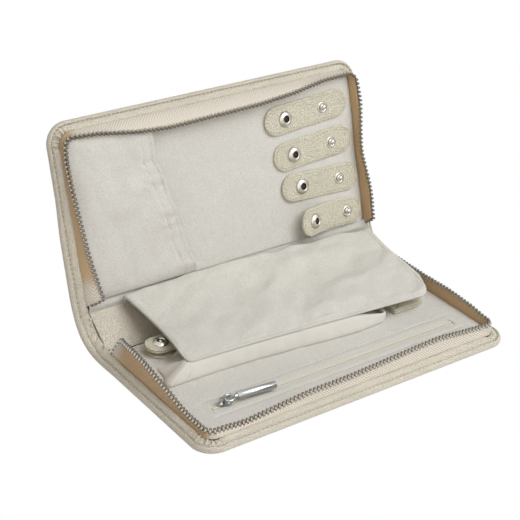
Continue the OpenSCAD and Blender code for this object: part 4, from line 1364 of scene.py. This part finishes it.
def spine_band():
    rows, cols = 34, 160
    u = np.linspace(BAND_FROM, BAND_TO, rows)
    x = np.linspace(-HALF_W + BAND_IN, HALF_W - BAND_IN, cols)
    U, X = np.meshgrid(u, x, indexing="ij")
    lip = BAND_TO - U
    lap = 2.3 * np.exp(-((HALF_W - BAND_IN - np.abs(X)) / 4.2) ** 2)
    H = (4.9 + 0.9 * np.exp(-((lip - 1.3) / 1.1) ** 2) - 0.28 * np.exp(-((lip - 3.6) / 0.5) ** 2) -
         0.9 * np.exp(-lip / 0.35) + soft_ripple(X, U * 2, 51, 0.22))
    welt = np.exp(-((U - 6.0) / 1.6) ** 2)
    H = H + lap + 0.9 * welt - 0.5 * np.exp(-((U - 9.2) / 0.9) ** 2)
    P = place(X, U, H)
    n = grid_normals(P)
    inward = place(X, U, H + 1) - P
    n *= np.sign((n * inward).sum())
    obj = pad_mesh("spine_leather_band", P, n, np.full(X.shape, 1.5))
    dress(obj, BAND, "spine", ("spine_band",))
    xs = np.linspace(-HALF_W + 9, HALF_W - 9, 200)
    line = place(xs, BAND_SEAM, 4.72)
    up = place(0, BAND_SEAM, 6) - place(0, BAND_SEAM, 5)
    stitches("spine_band_stitches", line, up, "spine", 3.2, 2.3, 0.42)


def base_welt():
    x = np.linspace(-HALF_W + 12, HALF_W - 12, 180)
    a = np.linspace(0, 2 * math.pi, 14, endpoint=False)
    wob = 0.25 * np.sin(x / 13 + 1) + 0.15 * np.sin(x / 4.3)
    V = 4.4 + wob[:, None] * 0.6 + np.cos(a) * 1.55
    H = 6.75 + wob[:, None] * 0.5 + np.sin(a) * 1.6
    P = on_half(BASE, np.repeat(x[:, None], 14, 1), V, H)
    obj = tube_mesh("spine_welt", P)
    dress(obj, BAND, BASE, ("base_welt",))


def spine_cloth():
    """Suede that goes on from the lid's lining over the lid's fold, down behind the band."""
    u = np.linspace(SPINE_L - 9.5, SPINE_L + 2.5, 15)
    x = np.linspace(-LIN_X - 2.2, LIN_X + 2.2, 110)
    U, X = np.meshgrid(u, x, indexing="ij")
    H = 4.6 + 4.5 * bump_window(U, SPINE_L - 2, SPINE_L + 20, 6) + soft_ripple(X, U, 61, 0.2)
    P = place(X, U, H)
    n = grid_normals(P)
    n *= np.sign((n * (place(X, U, H + 1) - P)).sum())
    obj = pad_mesh("spine_cloth", P, n, np.full(X.shape, 0.8), np.stack([X, U], -1))
    obj.data.materials.append(SUEDE)
    tuple(place(0, SPINE_L - 5, 4.0) * MM)
    tuple(place(0, SPINE_L + 6, 8.0) * MM)
    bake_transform(obj)


# ---------------------------------------------------------------- ring roll, its strap, side tab
def round_tab(length, width):
    """Outline of a tab: a square end at 0 and a round end at length."""
    a = np.linspace(-math.pi / 2, math.pi / 2, 26)
    straight = length - width / 2
    pts = [(x, -width / 2) for x in np.linspace(0, straight, 10, endpoint=False)]
    pts += list(np.stack([straight + np.cos(a) * width / 2, np.sin(a) * width / 2], -1))
    pts += [(x, width / 2) for x in np.linspace(straight, 0, 10)[1:]]
    pts += [(0, y) for y in np.linspace(width / 2, -width / 2, 8)[1:-1]]
    return np.array(pts, float)


ACROSS, UP = np.array([0.0, 1, 0]), np.array([0.0, 0, 1])
STITCH_IN = 2.0


def leather_pad(node, body, side, plies, width=None, longer=0.0):
    """A tab of stitched layers, round towards one side; its seam line follows the outline."""
    low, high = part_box(node)
    spot = np.array([low.x if side > 0 else high.x, (low.y + high.y) / 2, low.z]) / MM
    fore, thick = np.array([float(side), 0, 0]), (high.z - low.z) / MM
    outline = round_tab((high.x - low.x) / MM + longer, width or (high.y - low.y) / MM)
    middle = outline.mean(0)
    way = np.roll(outline, -1, 0) - np.roll(outline, 1, 0)
    way /= np.linalg.norm(way, axis=1)[:, None]
    into = np.stack([-way[:, 1], way[:, 0]], -1)
    if ((middle - outline) * into).sum() < 0:
        into = -into
    pieces = []
    for k in range(plies):
        z0, z1 = thick * k / plies, thick * (k + 1) / plies
        steps = [(1.6, z0 + 0.02), (0.35, z0 + 0.05), (0.0, z0 + 0.3), (0.0, z1 - 0.3),
                 (0.35, z1 - 0.05), (1.6, z1)]
        if k == plies - 1:
            steps += [(STITCH_IN, z1 - 0.06), (STITCH_IN + 1.2, z1), (STITCH_IN + 4, z1)]
        rings = []
        for inset, z in steps:
            p = outline + into * (min(inset, 1.6) + 0.25 * (k % 2))
            p = middle + (p - middle) * (1 - max(0.0, inset - 1.6) / 10)
            rings.append(spot + p[:, :1] * fore + p[:, 1:] * ACROSS + z * UP)
        pieces.append(tube_mesh(f"{node}_{k}", rings))
    dress(join(f"{node}_leather", *pieces), TAB, body, (node,))


def ring_roll():
    low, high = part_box("ring_roll")
    x0, x1 = low.x / MM, high.x / MM
    cy, cz, r = (low.y + high.y) / 2 / MM, (low.z + high.z) / 2 / MM, (high.z - low.z) / 2 / MM
    x = np.concatenate([x0 + np.array([0, 0.4, 1.4, 3]), np.linspace(x0 + 6, x1 - 6, 60),
                        x1 - np.array([3, 1.4, 0.4, 0])])
    size = np.interp(x, [x0, x0 + 0.4, x0 + 1.4, x0 + 3, x0 + 6, x1 - 6, x1 - 3, x1 - 1.4,
                         x1 - 0.4, x1], [0.3, 0.6, 0.82, 0.94, 1, 1, 0.94, 0.82, 0.6, 0.3])
    a = np.linspace(0, 2 * math.pi, 28, endpoint=False)
    soft = 1 + 0.02 * np.sin(x / 7)[:, None] * np.cos(a * 2) + 0.01 * np.sin(x / 3.1)[:, None]
    R = r * size[:, None] * np.minimum(soft, 1.0)
    P = np.stack([np.repeat(x[:, None], 28, 1), cy + R * np.cos(a), cz + R * np.sin(a)], -1)
    obj = tube_mesh("padded_ring_roll", P)
    dress(obj, SUEDE, BASE, ("ring_roll",))


def middle_of(node, z):
    low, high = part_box(node)
    return np.array([(low.x + high.x) / 2, (low.y + high.y) / 2, z]) / MM


def ring_snap():
    """The ring strap's socket with the ball that shows in it, and the stud below."""
    spot = middle_of("ring_socket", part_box("ring_strap")[1].z) - (0, 0, 0.6)
    dress(lathe("ring_snap_socket", SOCKET_PROFILE, spot, UP), SNAP, "strap",
          ("ring_socket",))
    # a near-black disc in the bore round the ball: painted shade
    painted_shade_disc = [(0, 1.1), (2.1, 1.05), (2.28, 0.4), (0, 0.3)]
    dress(lathe("ring_snap_well", painted_shade_disc, spot, UP, 24), PAINTED_BORE_SHADE, "strap")
    ball = [(0, 2.75), (0.7, 2.6), (1.25, 2.15), (1.5, 1.5), (1.4, 0.9), (0, 0.8)]
    dress(lathe("ring_snap_ball", ball, spot, UP, 24), CHROME, "strap")
    spot = middle_of("ring_stud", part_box("ring_stud")[0].z)
    dress(lathe("ring_snap_stud", STUD_PROFILE, spot, UP, 28), SNAP, BASE,
          ("ring_stud",))


def hoop(radius, wire, n=16):
    """Profile of a round wire bent to a ring."""
    a = np.linspace(0, 2 * math.pi, n, endpoint=False)
    return [(radius + wire * math.cos(k), wire * math.sin(k)) for k in a]


def pocket_puller():
    """A chrome tube on a ring, as long as its CAD body."""
    low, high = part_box("pocket_pull")
    spot = np.array(HINGES["pull_swing"]["pos_m"]) / MM
    length = high.x / MM - spot[0]
    r = (high.z - low.z) / 2 / MM
    start = 6.4
    tube = [(0, start - 0.5), (0.9, start - 0.5), (1.5, start), (1.5, start + 1.5),
            (r * 0.9, start + 1.7), (r, start + 2.0), (r, length - 0.3), (r * 0.93, length),
            (r * 0.72, length), (r * 0.72, length - 2), (0, length - 2.1)]
    pull = join("pocket_puller", lathe("tube", tube, spot, (1, -0.09, 0), 40),
                lathe("ring", hoop(3.3, 0.85), spot + (2.6, 0, 0), (0, 0, 1), 36))
    sharpen(pull, 40)
    dress(pull, CHROME, "puller", ("pocket_pull",))


pocket_puller()
for half in (BASE, LID):
    edge_stitches(half)
    teeth(half)
base_lining_panel()
lid_lining_panel()
flap()
pouch()
slip_pocket()
for i in range(1, 5):
    snap_tab(i)
    snap(i)
spine_band()
spine_cloth()
base_welt()
ring_roll()
leather_pad("ring_stud_tab", BASE, -1, 1, 19.0)
leather_pad("ring_strap", "strap", -1, 2, 18.0, 1.5)
ring_snap()
leather_pad("side_tab", BASE, 1, 2)

# ---------------------------------------------------------------- nodes that keep their shape
KEPT = {
    SUEDE: ["flap_skirt"],
    BAND: ["base_board", "lid_board", "spine_board"],
    NYLON: ["pocket_zip_tape", "pocket_zip_coil"],
    POUCH: ["pocket_bag"],
    CHROME: ["pocket_slider", "main_slider", "main_pull"],
}
for material, names in KEPT.items():
    for name in names:
        data = frame["nodes"][name].data
        data.materials.clear()
        data.materials.append(material)


# ---------------------------------------------------------------- stage
def studio():
    floor = mesh("floor", [(-3000, -3000, 0), (3000, -3000, 0), (3000, 3000, 0),
                           (-3000, 3000, 0)], [(0, 1, 2, 3)])
    s = Shader("white_floor")
    seen = s.node("ShaderNodeLightPath", out="Is Camera Ray")
    paths = seen.socket.node.outputs
    bright = seen + Wire(s, paths["Is Glossy Ray"]) + Wire(s, paths["Is Transmission Ray"])
    s.finish(Base_Color=(0.9, 0.9, 0.9), Roughness=0.9)
    glow = s.node("ShaderNodeEmission", {}, (1.0, 1.0, 1.0), 1.0)
    mix = s.node("ShaderNodeMixShader", {}, bright, Wire(s, s.surface.outputs[0]), glow)
    s.tree.links.new(mix.socket, s.tree.nodes["Material Output"].inputs["Surface"])
    floor.data.materials.append(s.material)


def lamp(name, size, power, spot, aim, color):
    data = bpy.data.lights.new(name, "AREA")
    data.size = size
    data.energy = power
    data.color = color
    obj = show(name, data)
    obj.location = spot
    obj.rotation_euler = (Vector(aim) - Vector(spot)).to_track_quat("-Z", "Y").to_euler()


def camera():
    """Camera at the viewing angle: turned to the left of the front, looking down, rolled a little."""
    turn, dip, roll = (math.radians(a) for a in (-37.743, 28.903, 3.509))
    back = Vector((math.sin(turn) * math.cos(dip), -math.cos(turn) * math.cos(dip),
                   math.sin(dip)))
    side = (-back).cross(Vector((0, 0, 1))).normalized()
    top = side.cross(-back)
    right = side * math.cos(roll) + top * math.sin(roll)
    up = top * math.cos(roll) - side * math.sin(roll)
    data = bpy.data.cameras.new("camera")
    data.sensor_width = 36.0
    data.lens = 100.33
    data.clip_end = 20
    obj = show("camera", data)
    turned = Matrix((right, up, back)).transposed().to_4x4()
    obj.matrix_world = Matrix.Translation(Vector((-523.68, -616.79, 514.56)) * MM) @ turned
    bpy.context.scene.camera = obj


def card(name, way, reach, wide, tall, glow):
    """A card that only the polished parts mirror."""
    obj = mesh(name, [(-wide / 2, -tall / 2, 0), (wide / 2, -tall / 2, 0),
                      (wide / 2, tall / 2, 0), (-wide / 2, tall / 2, 0)], [(0, 1, 2, 3)])
    s = Shader(name)
    s.finish(Base_Color=(0, 0, 0), Roughness=1.0, Specular_IOR_Level=0.0,
             Emission_Color=(1, 1, 1), Emission_Strength=glow)
    obj.data.materials.append(s.material)
    way = Vector(way).normalized()
    obj.location = way * reach
    obj.rotation_euler = way.to_track_quat("Z", "Y").to_euler()
    obj.visible_camera = obj.visible_diffuse = obj.visible_shadow = False


def sky():
    """Soft warm light from all round; the camera and polished metal see it as plain white."""
    world = bpy.data.worlds.new("studio")
    world.use_nodes = True
    nodes, link = world.node_tree.nodes, world.node_tree.links.new
    soft = nodes["Background"]
    plain, rays, pick, seen, clear = (
        nodes.new("ShaderNode" + kind)
        for kind in ("Background", "LightPath", "MixShader", "Math", "Math"))
    for back, color, strength in ((soft, (1, 0.955, 0.89, 1), 0.28), (plain, (1, 1, 1, 1), 1.0)):
        back.inputs[0].default_value = color
        back.inputs[1].default_value = strength
    for output, socket in ((rays.outputs["Is Camera Ray"], seen.inputs[0]),
                           (rays.outputs["Is Glossy Ray"], seen.inputs[1]),
                           (seen.outputs[0], clear.inputs[0]),
                           (rays.outputs["Is Transmission Ray"], clear.inputs[1]),
                           (clear.outputs[0], pick.inputs[0]),
                           (soft.outputs[0], pick.inputs[1]),
                           (plain.outputs[0], pick.inputs[2]),
                           (pick.outputs[0], nodes["World Output"].inputs[0])):
        link(output, socket)
    bpy.context.scene.world = world


studio()
camera()
sky()
card("back_card", (0.54, 0.50, 0.66), 0.7, 500, 260, 0.42)
card("bright_card", (0.54, -0.41, 0.72), 0.7, 420, 110, 1.0)
card("dark_card", (0.54, -0.70, 0.30), 0.6, 520, 180, 0.06)
lamp("key", 1.25, 17.4, (0.42, -0.72, 1.17), (0, 0, 0.05), (0.98, 1, 1))
lamp("fill", 1.2, 2.6, (-0.9, -0.9, 0.7), (0, 0, 0.05), (1, 0.9, 0.78))
bpy.context.scene.view_settings.view_transform = "Standard"
